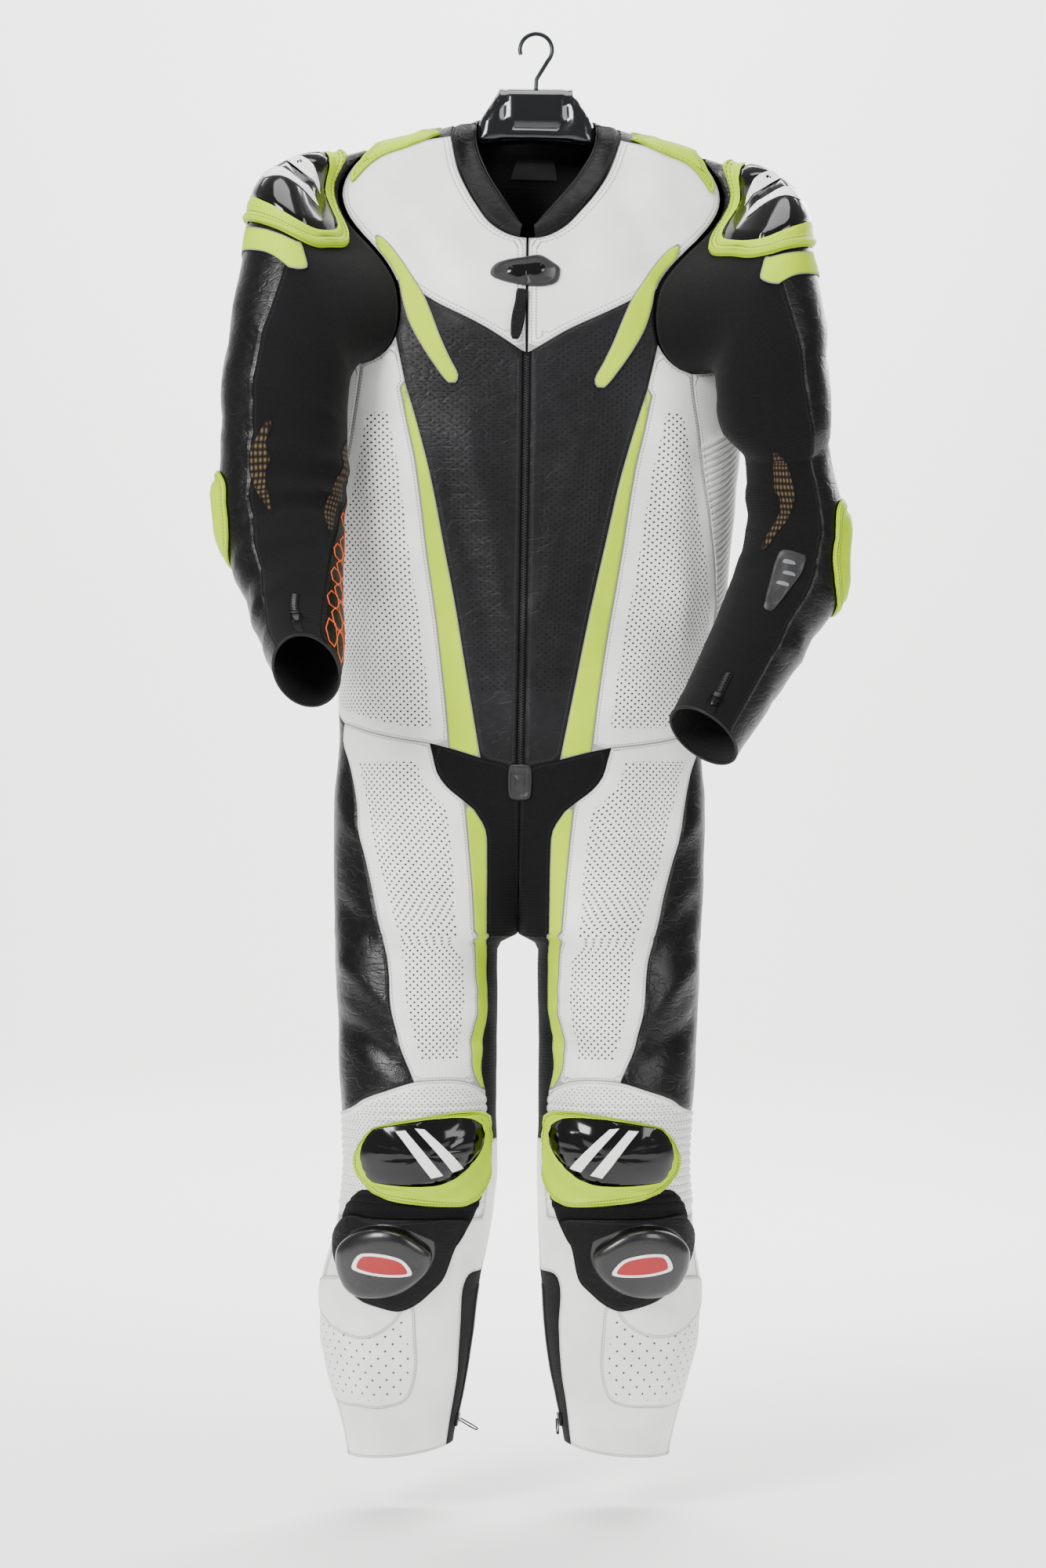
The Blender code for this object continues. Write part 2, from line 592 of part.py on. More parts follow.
def make_leg(side, tag):
    """Panels of one leg."""
    leg, facing = body_surface(side, "leg"), -side
    panel("thigh_" + tag, join(
        WAIST.part(0, 3), OUTER_SEAM.part(), KNEE_TOP.part(5, 1), THIGH_STRIPE.part(8, 0),
        WING_SIDE.part(4, 0)), leg, facing, WHITE)
    panel("thigh_stripe_" + tag, join(
        WING_SIDE.part(4, 5), THIGH_INNER.part(), KNEE_TOP.part(0, 1), THIGH_STRIPE.part(8, 0)),
        leg, facing, LIME)
    panel("inner_leg_" + tag, join(
        WING_TOP.part(5, 0), CROTCH_FRONT.part(), shift(SEAT_BOTTOM.part(2, 0), -1),
        shift(INSEAM_BACK.part(), -1), KNEE_UNDER.part(), KNEE_INNER.part(2, 0),
        THIGH_INNER.part(8, 0), WING_SIDE.part(5, 0)), leg, facing, KNIT, wall=STRETCH)
    panel("outer_leg_" + tag, join(
        WAIST.part(3, 6), SEAT_SIDE.part(), INSEAM_BACK.part(), THIGH_BACK.part(3, 0),
        KNEE_TOP.part(9, 5), OUTER_SEAM.part(11, 0)), leg, facing, BLACK)
    panel("knee_ribs_" + tag, join(
        KNEE_TOP.part(), KNEE_OUTER.part(), KNEE_BOTTOM.part(4, 0), KNEE_INNER.part(4, 0)),
        leg, facing, WHITE, **knee_rib_options())
    panel("shin_" + tag, join(
        KNEE_UNDER.part(1, 2), KNEE_INNER.part(2, 4), KNEE_BOTTOM.part(0, 3), CALF_FRONT.part(),
        HEM.part(3, 1), ZIP_FRONT.part(4, 0), CALF_INNER.part(2, 0)), leg, facing, WHITE)
    panel("calf_" + tag, join(
        THIGH_BACK.part(), shift(KNEE_UNDER.part(0, 1), 1), shift(CALF_INNER.part(), 1),
        shift(ZIP_BACK.part(), 1), HEM.part(6, 3), CALF_FRONT.part(3, 0), KNEE_BOTTOM.part(3, 4),
        KNEE_OUTER.part(2, 0)), leg, facing, WHITE)


def make_back_and_seat():
    """Panels that cross the middle of the back."""
    body = body_surface(1, "torso")
    panel("back", both_halves(
        BACK_NECKLINE.part(6, 0), SHOULDER_STRIP.part(3, 0), ARMHOLE.part(STRIP_CORNER, 0),
        ARMHOLE.part(LAST, BACK_CORNER), RIB_BACK.part(), WAIST.part(5, 8)), body, -1, BLACK,
        across=2 * CELL_ACROSS)
    panel("seat", both_halves(
        WAIST.part(8, 6), SEAT_SIDE.part(), SEAT_BOTTOM.part()), body, -1, KNIT, wall=STRETCH)


# ---------------------------------------------------------------- sleeves
# Rings of each sleeve, as hung: its outer and inner edge seen from the front, its depth, its half depth.
SLEEVE_ROWS = {
    "r": (
        # outer_x, outer_drop, inner_x, inner_drop, centre_y, half_depth
        (-326, 257, -210, 420, -114, 71), (-336, 326, -210, 438, -122, 69),
        (-351, 418, -210, 462, -124, 66), (-353, 490, -211, 494, -124, 64),
        (-354, 552, -212, 543, -128, 64), (-339, 619, -214, 587, -146, 61),
        (-311, 685, -216, 636, -180, 57), (-288, 738, -217, 682, -218, 54),
        (-278, 757, -217, 726, -250, 52)),
    "l": (
        (312, 286, 200, 410, -116, 68), (321, 340, 200, 436, -122, 66), (328, 418, 208, 472, -118, 62),
        (330, 490, 234, 498, -96, 60), (346, 570, 237, 561, -88, 60), (342, 641, 221, 627, -98, 58),
        (303, 712, 197, 685, -118, 56), (259, 779, 172, 740, -142, 54), (217, 837, 150, 783, -166, 52)),
}
# Way in which the sleeve's cap leaves the armhole, at shares of a turn from the ridge over the front.
CAP_ROWS = (
    # turn, outward, forward, down, and how much further round the sleeve's rings take the seam
    (0.0, 0.93, 0.15, 0.3, 0.0), (0.13, 0.87, 0.38, 0.28, 0.0), (0.25, 0.8, 0.6, 0.1, 0.0),
    (0.45, 0.6, 0.9, 0.0, 0.0), (0.5, 0.7, 0.9, 0.0, 0.01),
    (0.56, 0.9, 0.7, 0.0, 0.035), (0.65, 0.9, 0.45, 0.0, 0.05), (0.8, 0.9, 0.0, 0.25, 0.02),
    (1.0, 0.93, 0.15, 0.3, 0.0),
)
CAP_LENGTH = 150         # pattern length from the armhole to a sleeve's first ring
CAP_PULL = 1.15          # roundness of the cap
RING_REACH = 14          # a ring stands square to the sleeve's run over this far each way
SLEEVE_START = 6.0       # a sleeve begins this far from its armhole
SLEEVE_RUNS = 12         # straight runs along a sleeve's seam
SLEEVE_CUTS = (-0.41, -0.36, -0.3, -0.23, -0.15, -0.08, -0.04, 0.0, 0.04, 0.08, 0.13, 0.26, 0.35,
               0.43, 0.49)   # shares of a turn at which a sleeve's mesh is cut
LEATHER_FROM, LEATHER_TO = -0.45, 0.18   # share of a turn that the sleeve's leather takes


def armhole_loop(side):
    """Point of an armhole at a share of a turn, and the shares at which its seam has its points."""
    body = body_surface(side, "torso")
    points = [body(u, v) for u, v in ARMHOLE.part()]
    armpit = len(ARMHOLE.part(0, ARMPIT)) - 1
    halves = []
    for half in (points[:armpit + 1], points[armpit:]):
        lengths = [0.0]
        for a, b in zip(half, half[1:]):
            lengths.append(lengths[-1] + (b - a).length)
        halves.append((half, lengths))

    def along(q):
        q = q % 1.0
        half, lengths = halves[0] if q <= 0.5 else halves[1]
        target = (q * 2 if q <= 0.5 else q * 2 - 1) * lengths[-1]
        index = 0
        while index < len(half) - 2 and lengths[index + 1] < target:
            index += 1
        f = (target - lengths[index]) / (lengths[index + 1] - lengths[index])
        return half[index].lerp(half[index + 1], min(1.0, f))

    shares = [0.5 * length / halves[0][1][-1] for length in halves[0][1]]
    shares += [0.5 + 0.5 * length / halves[1][1][-1] for length in halves[1][1][1:]]
    return along, shares


def sleeve_surface(tag):
    """Surface of a sleeve in pattern lengths, its whole length, and its side."""
    side = 1 if tag == "l" else -1
    rows, length = [], CAP_LENGTH
    for index, row in enumerate(SLEEVE_ROWS[tag]):
        if index:
            last = SLEEVE_ROWS[tag][index - 1]
            along = (math.dist(row[0:2], last[0:2]) + math.dist(row[2:4], last[2:4])) / 2
            length += math.hypot(along, row[4] - last[4])
        rows.append((length,) + row)
    armhole, shares = armhole_loop(side)

    def centre(t):
        row = read_rows(rows, t)
        return Vector(((row[0] + row[2]) / 2, row[4], -(row[1] + row[3]) / 2))

    def ring(q, t):
        row = read_rows(rows, t)
        outer, inner = Vector((row[0], row[4], -row[1])), Vector((row[2], row[4], -row[3]))
        reach = (outer - inner) / 2
        middle = min(max(t, CAP_LENGTH + RING_REACH), length - RING_REACH)
        toward = reach.cross(centre(middle + RING_REACH) - centre(middle - RING_REACH)).normalized()
        if toward.y > 0:
            toward = -toward
        angle = 2 * math.pi * (q + read_rows(CAP_ROWS, q % 1.0)[3])
        return (outer + inner) / 2 + reach * math.cos(angle) + toward * (row[5] * math.sin(angle))

    def point(u, v):
        q, t = u / SLEEVE_WIDTH, v
        if t >= CAP_LENGTH:
            return ring(q, t)
        start, end = armhole(q), ring(q, CAP_LENGTH)
        chord = (end - start).length * CAP_PULL
        outward, forward, down = read_rows(CAP_ROWS, q % 1.0)[:3]
        leave = Vector((side * outward, -forward, -down)).normalized() * chord
        arrive = (ring(q, CAP_LENGTH + 12) - end).normalized() * chord
        f = t / CAP_LENGTH
        keep = (1 + 2 * f) * (1 - f) ** 2
        return (start * keep + end * (1 - keep) + leave * (f * (1 - f) ** 2)
                - arrive * (f * f * (1 - f)))
    return point, length, side, shares


def make_sleeve(tag):
    """Leather and stretch halves of a sleeve."""
    surface, length, side, shares = sleeve_surface(tag)
    turns = sorted(set(round(share + whole, 5) for share in shares for whole in (-1, 0)))
    ends = (LEATHER_FROM, LEATHER_TO, 1 + LEATHER_FROM)
    seams = [[(q * SLEEVE_WIDTH, SLEEVE_START + k * (length - SLEEVE_START) / SLEEVE_RUNS)
              for k in range(SLEEVE_RUNS + 1)] for q in ends]
    for index, (name, colour, wall) in enumerate((("sleeve_leather_", BLACK, LEATHER),
                                                  ("sleeve_stretch_", KNIT, STRETCH))):
        low, high = ends[index], ends[index + 1]
        inside = [q for q in turns if low + 0.008 < q < high - 0.008]
        top = [(q * SLEEVE_WIDTH, SLEEVE_START) for q in [low] + inside + [high]]
        cuff = [((low + (high - low) * k / 12) * SLEEVE_WIDTH, length) for k in range(13)]
        turns_cut = [q * SLEEVE_WIDTH for q in SLEEVE_CUTS if low + 0.01 < q < high - 0.01]
        rings_cut = [18] + [CAP_LENGTH * k / 5 for k in range(1, 6)]
        rings_cut += [CAP_LENGTH + (length - CAP_LENGTH) * k / 8 for k in range(1, 8)]
        panel(name + tag, join(top, seams[index + 1], cuff[::-1], seams[index][::-1]), surface, side,
              colour, lift=-wall, wall=wall, cuts_u=turns_cut, cuts_v=rings_cut)


# ---------------------------------------------------------------- pieces sewn on top
KNEE_FRAME = ((38, 1234), (64, 1230), (105, 1235), (140, 1242), (158, 1248), (170, 1262), (178, 1282),
              (178, 1295), (168, 1311), (153, 1323), (122, 1331), (77, 1335), (56, 1334), (43, 1324),
              (36, 1308), (34, 1290), (34, 1264), (35, 1246))
KNEE_DOME = ((148, 1245), (91, 1238), (62, 1239), (52, 1245), (48, 1251), (47, 1263), (54, 1278),
             (75, 1296), (94, 1305), (150, 1306), (157, 1303), (165, 1283), (165, 1270), (160, 1257))
SLIDER_PATCH = ((193, 1356), (184, 1347), (160, 1349), (104, 1349), (52, 1352), (58, 1363), (68, 1384),
                (78, 1419), (91, 1435), (105, 1448), (123, 1456), (142, 1453), (164, 1445), (182, 1430),
                (194, 1410), (200, 1390), (200, 1372))
SLIDER = ((188, 1402), (186, 1384), (176, 1369), (162, 1360), (143, 1356), (124, 1360), (109, 1369),
          (96, 1380), (93, 1388), (95, 1398), (102, 1410), (115, 1423), (134, 1433), (160, 1436),
          (176, 1430), (184, 1418))
SHOULDER_FRAME = (
    # share of a turn, pattern length along the sleeve
    (0.115, 15), (0.145, 12), (0.18, 12), (0.215, 18), (0.245, 30), (0.258, 46), (0.248, 70), (0.23, 94),
    (0.19, 114), (0.15, 125), (0.105, 133), (0.05, 137), (0.0, 135), (-0.05, 127), (-0.1, 112),
    (-0.14, 92), (-0.155, 68), (-0.15, 46), (-0.12, 34), (-0.08, 30), (-0.02, 26), (0.05, 20))
SHOULDER_CUP = ((0.06, 38), (0.12, 31), (0.17, 27), (0.2, 31), (0.225, 44), (0.225, 62), (0.205, 86),
                (0.17, 102), (0.12, 113), (0.06, 118), (0.0, 116), (-0.06, 108), (-0.1, 90), (-0.12, 68),
                (-0.11, 54), (-0.07, 44), (0.0, 40))
SHOULDER_BAND = ((0.2, 113), (0.215, 120), (0.23, 130), (0.2, 147), (0.15, 157), (0.073, 165), (0.0, 164),
                 (-0.08, 156), (-0.15, 138), (-0.18, 120), (-0.16, 95), (-0.1, 115), (-0.05, 131),
                 (0.0, 139), (0.05, 141), (0.105, 137), (0.15, 129), (0.19, 118))
ELBOW_CUPS = {
    # shares of a turn and pattern lengths of the outline, then its middle
    "r": ((0.09, 345), (0.1, 372), (0.085, 400), (0.03, 418), (-0.05, 420), (-0.12, 405), (-0.15, 375),
          (-0.13, 345), (-0.07, 328), (0.03, 328)),
    "l": ((0.1, 365), (0.12, 395), (0.12, 430), (0.09, 462), (0.03, 480), (-0.05, 480), (-0.12, 460),
          (-0.15, 420), (-0.13, 380), (-0.06, 358), (0.04, 355)),
}
TAIL = (front(203, 186), front(194, 175), front(184, 163), front(170, 153), front(150, 146),
        front(128, 137), front(108, 128), at(0.5, 114.5), at(0.53, 119), at(0.545, 125), at(0.54, 130),
        at(0.5, 131), front(183, 141), front(196, 160), front(205, 176))
FLASH = (front(165, 253), front(150, 276), front(133, 300), front(120, 318), front(110, 338),
         front(98, 366), front(87, 390), front(77, 408), front(79, 416), front(86, 416), front(102, 396),
         front(119, 370), front(129, 348), front(136, 326), front(142, 302), front(152, 281),
         front(163, 266))


def on_body(points):
    """Outline of a piece in front, from distances from the middle and drops."""
    return [front(x, drop) for x, drop in points]


def on_sleeve(points):
    """Outline of a piece on a sleeve, from shares of a turn and pattern lengths."""
    return [(share * SLEEVE_WIDTH, length) for share, length in points]


def make_torso_trim(side, tag):
    """Lime shapes on the chest and along the shoulder."""
    body, facing = body_surface(side, "torso"), -side
    over = cover("yoke_" + tag, "chest_" + tag, "back")
    panel("flash_" + tag, list(FLASH), body, facing, LIME, lift=0.5, wall=OVERLAY, over=over)
    panel("shoulder_tail_" + tag, list(TAIL), body, facing, LIME, lift=2.2, wall=2.0, across=24.8,
          along=20, over=over)


def make_leg_armour(side, tag):
    """Knee armour and knee slider."""
    leg, facing = body_surface(side, "leg"), -side
    over = cover("knee_ribs_" + tag, "shin_" + tag, "calf_" + tag, "inner_leg_" + tag)
    frame, dome = on_body(KNEE_FRAME), on_body(KNEE_DOME)
    plate("knee_armour_" + tag, leg, facing, LIME, over, front(102, 1276),
          ((frame, 1.0, 7.6), (frame, 0.96, 9.6), (dome, 1.02, 10.0), (dome, 0.96, 15.0),
           (dome, 0.6, 20.5)), ((1.0, 4.6), (0.7, 5.6), (0.35, 7.4)))
    patch, block = on_body(SLIDER_PATCH), on_body(SLIDER)
    plate("slider_" + tag, leg, facing, GLOSS, over, front(140, 1396),
          ((patch, 1.0, 4.6), (block, 1.04, 7.0), (block, 1.0, 20.0), (block, 0.9, 25.0)),
          ((1.0, 1.8), (0.7, 3.4), (0.4, 4.6)))


def make_sleeve_armour(tag):
    """Armour of the shoulder with the leather band under it, and the elbow's cup."""
    surface, length, side, shares = sleeve_surface(tag)
    over = cover("sleeve_leather_" + tag, "sleeve_stretch_" + tag)
    frame, cup = on_sleeve(SHOULDER_FRAME), on_sleeve(SHOULDER_CUP)
    plate("shoulder_armour_" + tag, surface, side, LIME, over, (0.04 * SLEEVE_WIDTH, 74),
          ((frame, 1.0, 9.3), (frame, 0.97, 11.3), (cup, 1.03, 11.8), (cup, 0.97, 14.8),
           (cup, 0.6, 17.6)), ((1.0, 6.4), (0.75, 7.4), (0.4, 9.0)))
    panel("band_" + tag, on_sleeve(SHOULDER_BAND), surface, side, LIME, lift=3.4, wall=OVERLAY,
          edge=0.0, across=21.5, along=20, over=over)
    elbow = on_sleeve(ELBOW_CUPS[tag])
    middle = (-0.02 * SLEEVE_WIDTH, 372 if tag == "r" else 418)
    plate("elbow_cup_" + tag, surface, side, LIME, over, middle,
          ((elbow, 1.0, 5.0), (elbow, 0.94, 7.0), (elbow, 0.6, 10.0)),
          ((1.0, 3.2), (0.6, 4.6)), spokes=20)


# ---------------------------------------------------------------- collar
# Top edge of the collar's front half and of its back half, from the suit's middle.
COLLAR_FRONT = (
    # x, drop, y
    (9, 236, -92), (19, 222, -86), (33, 203, -80), (48, 181, -68), (57, 164, -56), (64, 148, -42),
    (69, 132, -24), (71, 116, -6), (71, 104, 8))
COLLAR_BACK = ((71, 101, 12), (66, 93, 34), (40, 87, 54), (0, 84, 62))
COLLAR_RISE = 3.2        # the collar starts this far beyond the neck's edge
COLLAR_PAD = 5.0         # padded leather of its front
COLLAR_KNIT = 2.2        # stretch of its back


def shell(name, grid, wall, colour):
    """Solid wall on a grid of points. Its rows run from the bottom up, and it grows away from the axis."""
    builder = bmesh.new()
    rows, count = len(grid), len(grid[0])
    layers = []
    for grow in (0.0, wall):
        layer = []
        for i in range(rows):
            for j in range(count):
                across = grid[i][min(j + 1, count - 1)] - grid[i][max(j - 1, 0)]
                upward = grid[min(i + 1, rows - 1)][j] - grid[max(i - 1, 0)][j]
                normal = across.cross(upward).normalized()
                layer.append(builder.verts.new(grid[i][j] + normal * grow))
        layers.append(layer)
    inner, outer = layers
    for i in range(rows - 1):
        for j in range(count - 1):
            ring = (i * count + j, i * count + j + 1, (i + 1) * count + j + 1, (i + 1) * count + j)
            builder.faces.new([inner[k] for k in ring])
            builder.faces.new([outer[k] for k in ring[::-1]])
    border = [j for j in range(count)]
    border += [i * count + count - 1 for i in range(1, rows)]
    border += [(rows - 1) * count + j for j in range(count - 2, -1, -1)]
    border += [i * count for i in range(rows - 2, 0, -1)]
    for a, b in zip(border, border[1:] + border[:1]):
        builder.faces.new((inner[a], outer[a], outer[b], inner[b]))
    return close_solid(name, builder, colour)


def collar_grid(low, high, rows, bulge):
    """Rows of points from the neck's edge to the collar's top, a little rounded."""
    starts = [a + (b - a).normalized() * COLLAR_RISE for a, b in zip(low, high)]
    middle = sum(high, Vector()) / len(high)
    grid = []
    for i in range(rows):
        f = i / (rows - 1)
        row = []
        for start, end in zip(starts, high):
            away = start - middle
            away.z = 0
            row.append(start.lerp(end, f) + away.normalized() * (4 * bulge * f * (1 - f)))
        grid.append(row)
    return grid


def make_collar():
    """Padded leather fronts and the stretch back of the collar."""
    front_base = [front(9, 249.4), front(25, 245), front(44, 233), front(59, 215), front(71, 198),
                  front(83, 176), front(90, 156), front(96, 131), front(94, 113.5)]
    back_base = [at(0.5, 109.5), at(0.65, 108.6), at(0.82, 108.3), at(1, 108.2)]
    for side, tag in ((1, "l"), (-1, "r")):
        body = body_surface(side, "torso")
        low = [body(u, v) for u, v in front_base]
        high = [lean(side * x, y, drop) for x, drop, y in COLLAR_FRONT]
        grid = collar_grid(low, high, 4, 1.5)
        shell("collar_" + tag, [row[::side] for row in grid], COLLAR_PAD, BLACK)
    low, high = [], []
    for side in (1, -1):
        body = body_surface(side, "torso")
        base = [body(u, v) for u, v in back_base]
        tops = [lean(side * x, y, drop) for x, drop, y in COLLAR_BACK]
        low = base if side == 1 else low[:-1] + base[::-1]
        high = tops if side == 1 else high[:-1] + tops[::-1]
    shell("collar_back", collar_grid(low, high, 3, 1.0), COLLAR_KNIT, KNIT)


# ---------------------------------------------------------------- zips, tabs and pulls
ZIP_TAPE = 1.2           # cloth of a zip
COIL = 2.2               # its teeth stand this far over the tape
NECK_TAB = ((-41, 294), (-33, 280), (3, 271), (15, 269.5), (30, 278), (37, 284), (33, 300), (14, 305.5),
            (-17, 303))
FLY_TAB = ((-13, 845), (-10, 842), (10, 842), (13, 845), (13, 874), (9, 880), (-9, 880), (-13, 874))
CUFF_ZIPS = {"r": (0.312, 536, 594), "l": (0.292, 604, 658)}
PULLS = {
    # width, length, thickness, clearance under it, how far it swings out as shown
    "main_pull": (15, 58, 2.5, 3.0, 4), "leg_pull_l": (8, 18, 1.8, 5.0, 6),
    "leg_pull_r": (8, 24, 1.8, 5.0, 74), "cuff_pull_l": (13, 18, 1.8, 4.4, 12),
    "cuff_pull_r": (13, 22, 1.8, 4.4, 20),
}


def signed_front(x, drop):
    """Pattern point in front of the whole torso, at a distance from its middle to either side."""
    u, v = front(abs(x), drop)
    return math.copysign(u, x), v


def zip_rise(middle, first, last):
    """Height of a zip's raised teeth, a line down the middle of its tape."""
    def rise(u, v):
        return COIL if abs(u - middle) < 2.2 and first < v < last else 0.0
    return rise


def make_zips():
    """Front zip with its neck and fly tabs, and the zips of legs and cuffs."""
    body = body_surface(1, "torso")
    top, bottom = length_at(255), length_at(846)
    teeth = length_at(386)
    strip = [(-14, top), (14, top), (14, bottom), (-14, bottom)]
    panel("main_zip", strip, body, -1, BLACK, lift=-GAP - ZIP_TAPE - 0.7, wall=ZIP_TAPE, edge=0.0,
          cuts_u=(-3.4, -2, 2, 3.4), cuts_v=[teeth - 2, teeth + 2] + even_cuts(teeth, bottom, CELL_ALONG),
          rise=zip_rise(0, teeth, bottom + 1), snap=0.5)
    over = cover("yoke_l", "yoke_r")
    panel("neck_tab", [signed_front(x, drop) for x, drop in NECK_TAB], body, -1, RUBBER, lift=0.6,
          wall=4.0, edge=0.0, cuts_u=(-1, 1, 20, -20), cuts_v=(), over=over, snap=0.5)
    over = cover("chest_l", "chest_r", "inner_leg_l", "inner_leg_r")
    panel("fly_tab", [signed_front(x, drop) for x, drop in FLY_TAB], body, -1, RUBBER, lift=1.2,
          wall=1.8, edge=0.0, cuts_u=(), cuts_v=[length_at(860)], over=over, snap=0.5)
    for side, tag in ((1, "l"), (-1, "r")):
        leg = body_surface(side, "leg")
        u = 0.03 * PATTERN_WIDTH
        panel("leg_zip_" + tag, join(ZIP_FRONT.part(), HEM.part(1, 0), ZIP_BACK.part(4, 0)), leg, -side,
              BLACK, wall=ZIP_TAPE, cuts_u=(u - 3.2, u - 1.8, u + 1.8, u + 3.2),
              rise=zip_rise(u, length_at(1430), 9999), snap=0.5)
        sleeve = sleeve_surface(tag)[0]
        share, first, last = CUFF_ZIPS[tag]
        u = share * SLEEVE_WIDTH
        strip = [(u - 7, first), (u + 7, first), (u + 7, last), (u - 7, last)]
        panel("cuff_zip_" + tag, strip, sleeve, side, BLACK, lift=0.8, wall=ZIP_TAPE, edge=0.0,
              cuts_u=(u - 2, u + 2), cuts_v=[(first + last) / 2], over=cover("sleeve_stretch_" + tag),
              rise=zip_rise(u, first + 1, last - 1), snap=0.5)


def make_pull(name, surface, facing, u, v, tilt, colour):
    """Pull tab of a zip, hinged at its top. Its origin is on the hinge's axis."""
    width, length, thickness, clearance, swing = PULLS[name]
    normal = normal_at(surface, u, v, facing)
    down = (surface(u + tilt, v + 6) - surface(u, v)).normalized()
    down = (down - normal * down.dot(normal)).normalized()
    across = normal.cross(down)
    pivot = surface(u, v) + normal * (clearance + thickness / 2)
    angle = math.radians(swing)
    along = down * math.cos(angle) + normal * math.sin(angle)
    out = normal * math.cos(angle) - down * math.sin(angle)
    outline = ((-0.36, -0.02), (0.36, -0.02), (0.5, 0.55), (0.42, 0.84), (0.2, 1.0), (-0.2, 1.0),
               (-0.42, 0.84), (-0.5, 0.55))
    builder = bmesh.new()
    faces = []
    for level in (-0.5, 0.5):
        ring = [builder.verts.new(across * (a * width) + along * (b * length) + out * (level * thickness))
                for a, b in outline]
        faces.append(ring)
        builder.faces.new(ring)
    for i in range(len(outline)):
        j = (i + 1) % len(outline)
        builder.faces.new((faces[0][i], faces[0][j], faces[1][j], faces[1][i]))
    made = close_solid(name, builder, colour)
    made.location = pivot * MM


def make_pulls():
    """The zips' pull tabs."""
    make_pull("main_pull", body_surface(1, "torso"), -1, -4, length_at(310.5), -0.7, RUBBER)
    for side, tag in ((1, "l"), (-1, "r")):
        leg = body_surface(side, "leg")
        make_pull("leg_pull_" + tag, leg, -side, 0.03 * PATTERN_WIDTH, length_at(1592), 0, METAL)
        sleeve = sleeve_surface(tag)[0]
        share, first, last = CUFF_ZIPS[tag]
        make_pull("cuff_pull_" + tag, sleeve, side, share * SLEEVE_WIDTH, last - 24, 0, METAL)


# ---------------------------------------------------------------- hanger
HOOK_WIRE = 5.0          # width of the hook's wire
HOOK_REACH = 18.5        # radius of its bend, to the middle of the wire
# Half outline of the hanger's head and arm, from the top of the head round to the arch below it.
HANGER_EDGE = (
    # x, drop
    (42, 62), (46, 70), (52, 80), (60, 92), (65.5, 102), (66.5, 108), (69, 119), (80, 121), (95, 122.5),
    (118, 126.5), (148, 134.5), (176, 143), (190, 149), (197, 158), (192, 169), (176, 173), (148, 168),
    (118, 160), (95, 152), (80, 143), (66, 131), (34, 126), (0, 124))
# How far the hanger reaches forward and back, at a distance from its middle.
HANGER_DEPTH = ((0, 14, 14), (58, 15, 15), (66, 13, 16), (72, 4, 18), (94, 4, 20), (112, 16, 20),
                (180, 18, 18))


def make_hanger():
    """Hook, head and both arms of the hanger in one piece."""
    half = HOOK_WIRE / 2
    path = [(0, 62), (0, 50), (6, 41)]
    for step in range(11):
        angle = math.radians(-42 + step * 24)
        path.append((HOOK_REACH * math.cos(angle), HOOK_REACH - half - HOOK_REACH * math.sin(angle)))
    right, left = [], []
    for i, (x, drop) in enumerate(path):
        before, after = path[max(i - 1, 0)], path[min(i + 1, len(path) - 1)]
        run = Vector((after[0] - before[0], after[1] - before[1])).normalized()
        right.append((x - run.y * half, drop + run.x * half))
        left.append((x + run.y * half, drop - run.x * half))
    edge = list(HANGER_EDGE)
    outline = right + left[::-1] + [(-x, drop) for x, drop in edge] + edge[-2::-1]
    sheet = flat_sheet(outline, (-104, -70, -60, -30, 0, 30, 60, 70, 104), (66, 80, 102, 112), snap=0.6)
    extruded = bmesh.ops.extrude_face_region(sheet, geom=sheet.faces[:])
    backs = {item for item in extruded["geom"] if isinstance(item, bmesh.types.BMVert)}
    for vert in sheet.verts:
        x, drop = vert.co.x, vert.co.y
        ahead, behind = read_rows(HANGER_DEPTH, abs(x))
        if drop < 62.5 and abs(x) < 25:
            ahead = behind = half
        vert.co = lean(x, behind if vert in backs else -ahead, drop)
    close_solid("hanger", sheet, GLOSS)


def build_suit():
    """Clears the scene and makes every piece."""
    for old in list(bpy.data.objects):
        bpy.data.objects.remove(old, do_unlink=True)
    for side, tag in ((1, "l"), (-1, "r")):
        make_torso(side, tag)
        make_leg(side, tag)
        make_sleeve(tag)
    make_back_and_seat()
    for side, tag in ((1, "l"), (-1, "r")):
        make_leg_armour(side, tag)
        make_sleeve_armour(tag)
        make_torso_trim(side, tag)
    make_collar()
    make_zips()
    make_pulls()
    make_hanger()


build_suit()
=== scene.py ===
# One-piece motorcycle race suit, filled out as it hangs on a broad moulded hanger.
# Sizes are millimetres until a piece is finished, and metres after. "drop" is the distance below the
# hanger's hook, +X is the wearer's left and the suit faces -Y.
import math

import bmesh
import bpy
import numpy as np
from mathutils import Matrix, Vector, noise
from mathutils.bvhtree import BVHTree


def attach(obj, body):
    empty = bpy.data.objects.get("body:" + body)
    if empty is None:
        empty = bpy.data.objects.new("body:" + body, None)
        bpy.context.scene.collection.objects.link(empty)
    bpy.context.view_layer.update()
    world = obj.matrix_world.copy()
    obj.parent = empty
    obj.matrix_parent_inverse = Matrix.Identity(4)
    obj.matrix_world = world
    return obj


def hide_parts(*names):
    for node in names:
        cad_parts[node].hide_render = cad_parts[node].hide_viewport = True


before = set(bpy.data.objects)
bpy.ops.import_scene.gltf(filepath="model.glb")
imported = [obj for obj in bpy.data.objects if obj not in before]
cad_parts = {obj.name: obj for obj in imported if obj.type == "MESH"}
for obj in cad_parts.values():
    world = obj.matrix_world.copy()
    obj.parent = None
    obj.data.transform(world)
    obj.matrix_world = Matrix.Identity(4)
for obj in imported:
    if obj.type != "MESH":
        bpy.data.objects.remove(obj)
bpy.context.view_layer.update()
print("frame loaded")

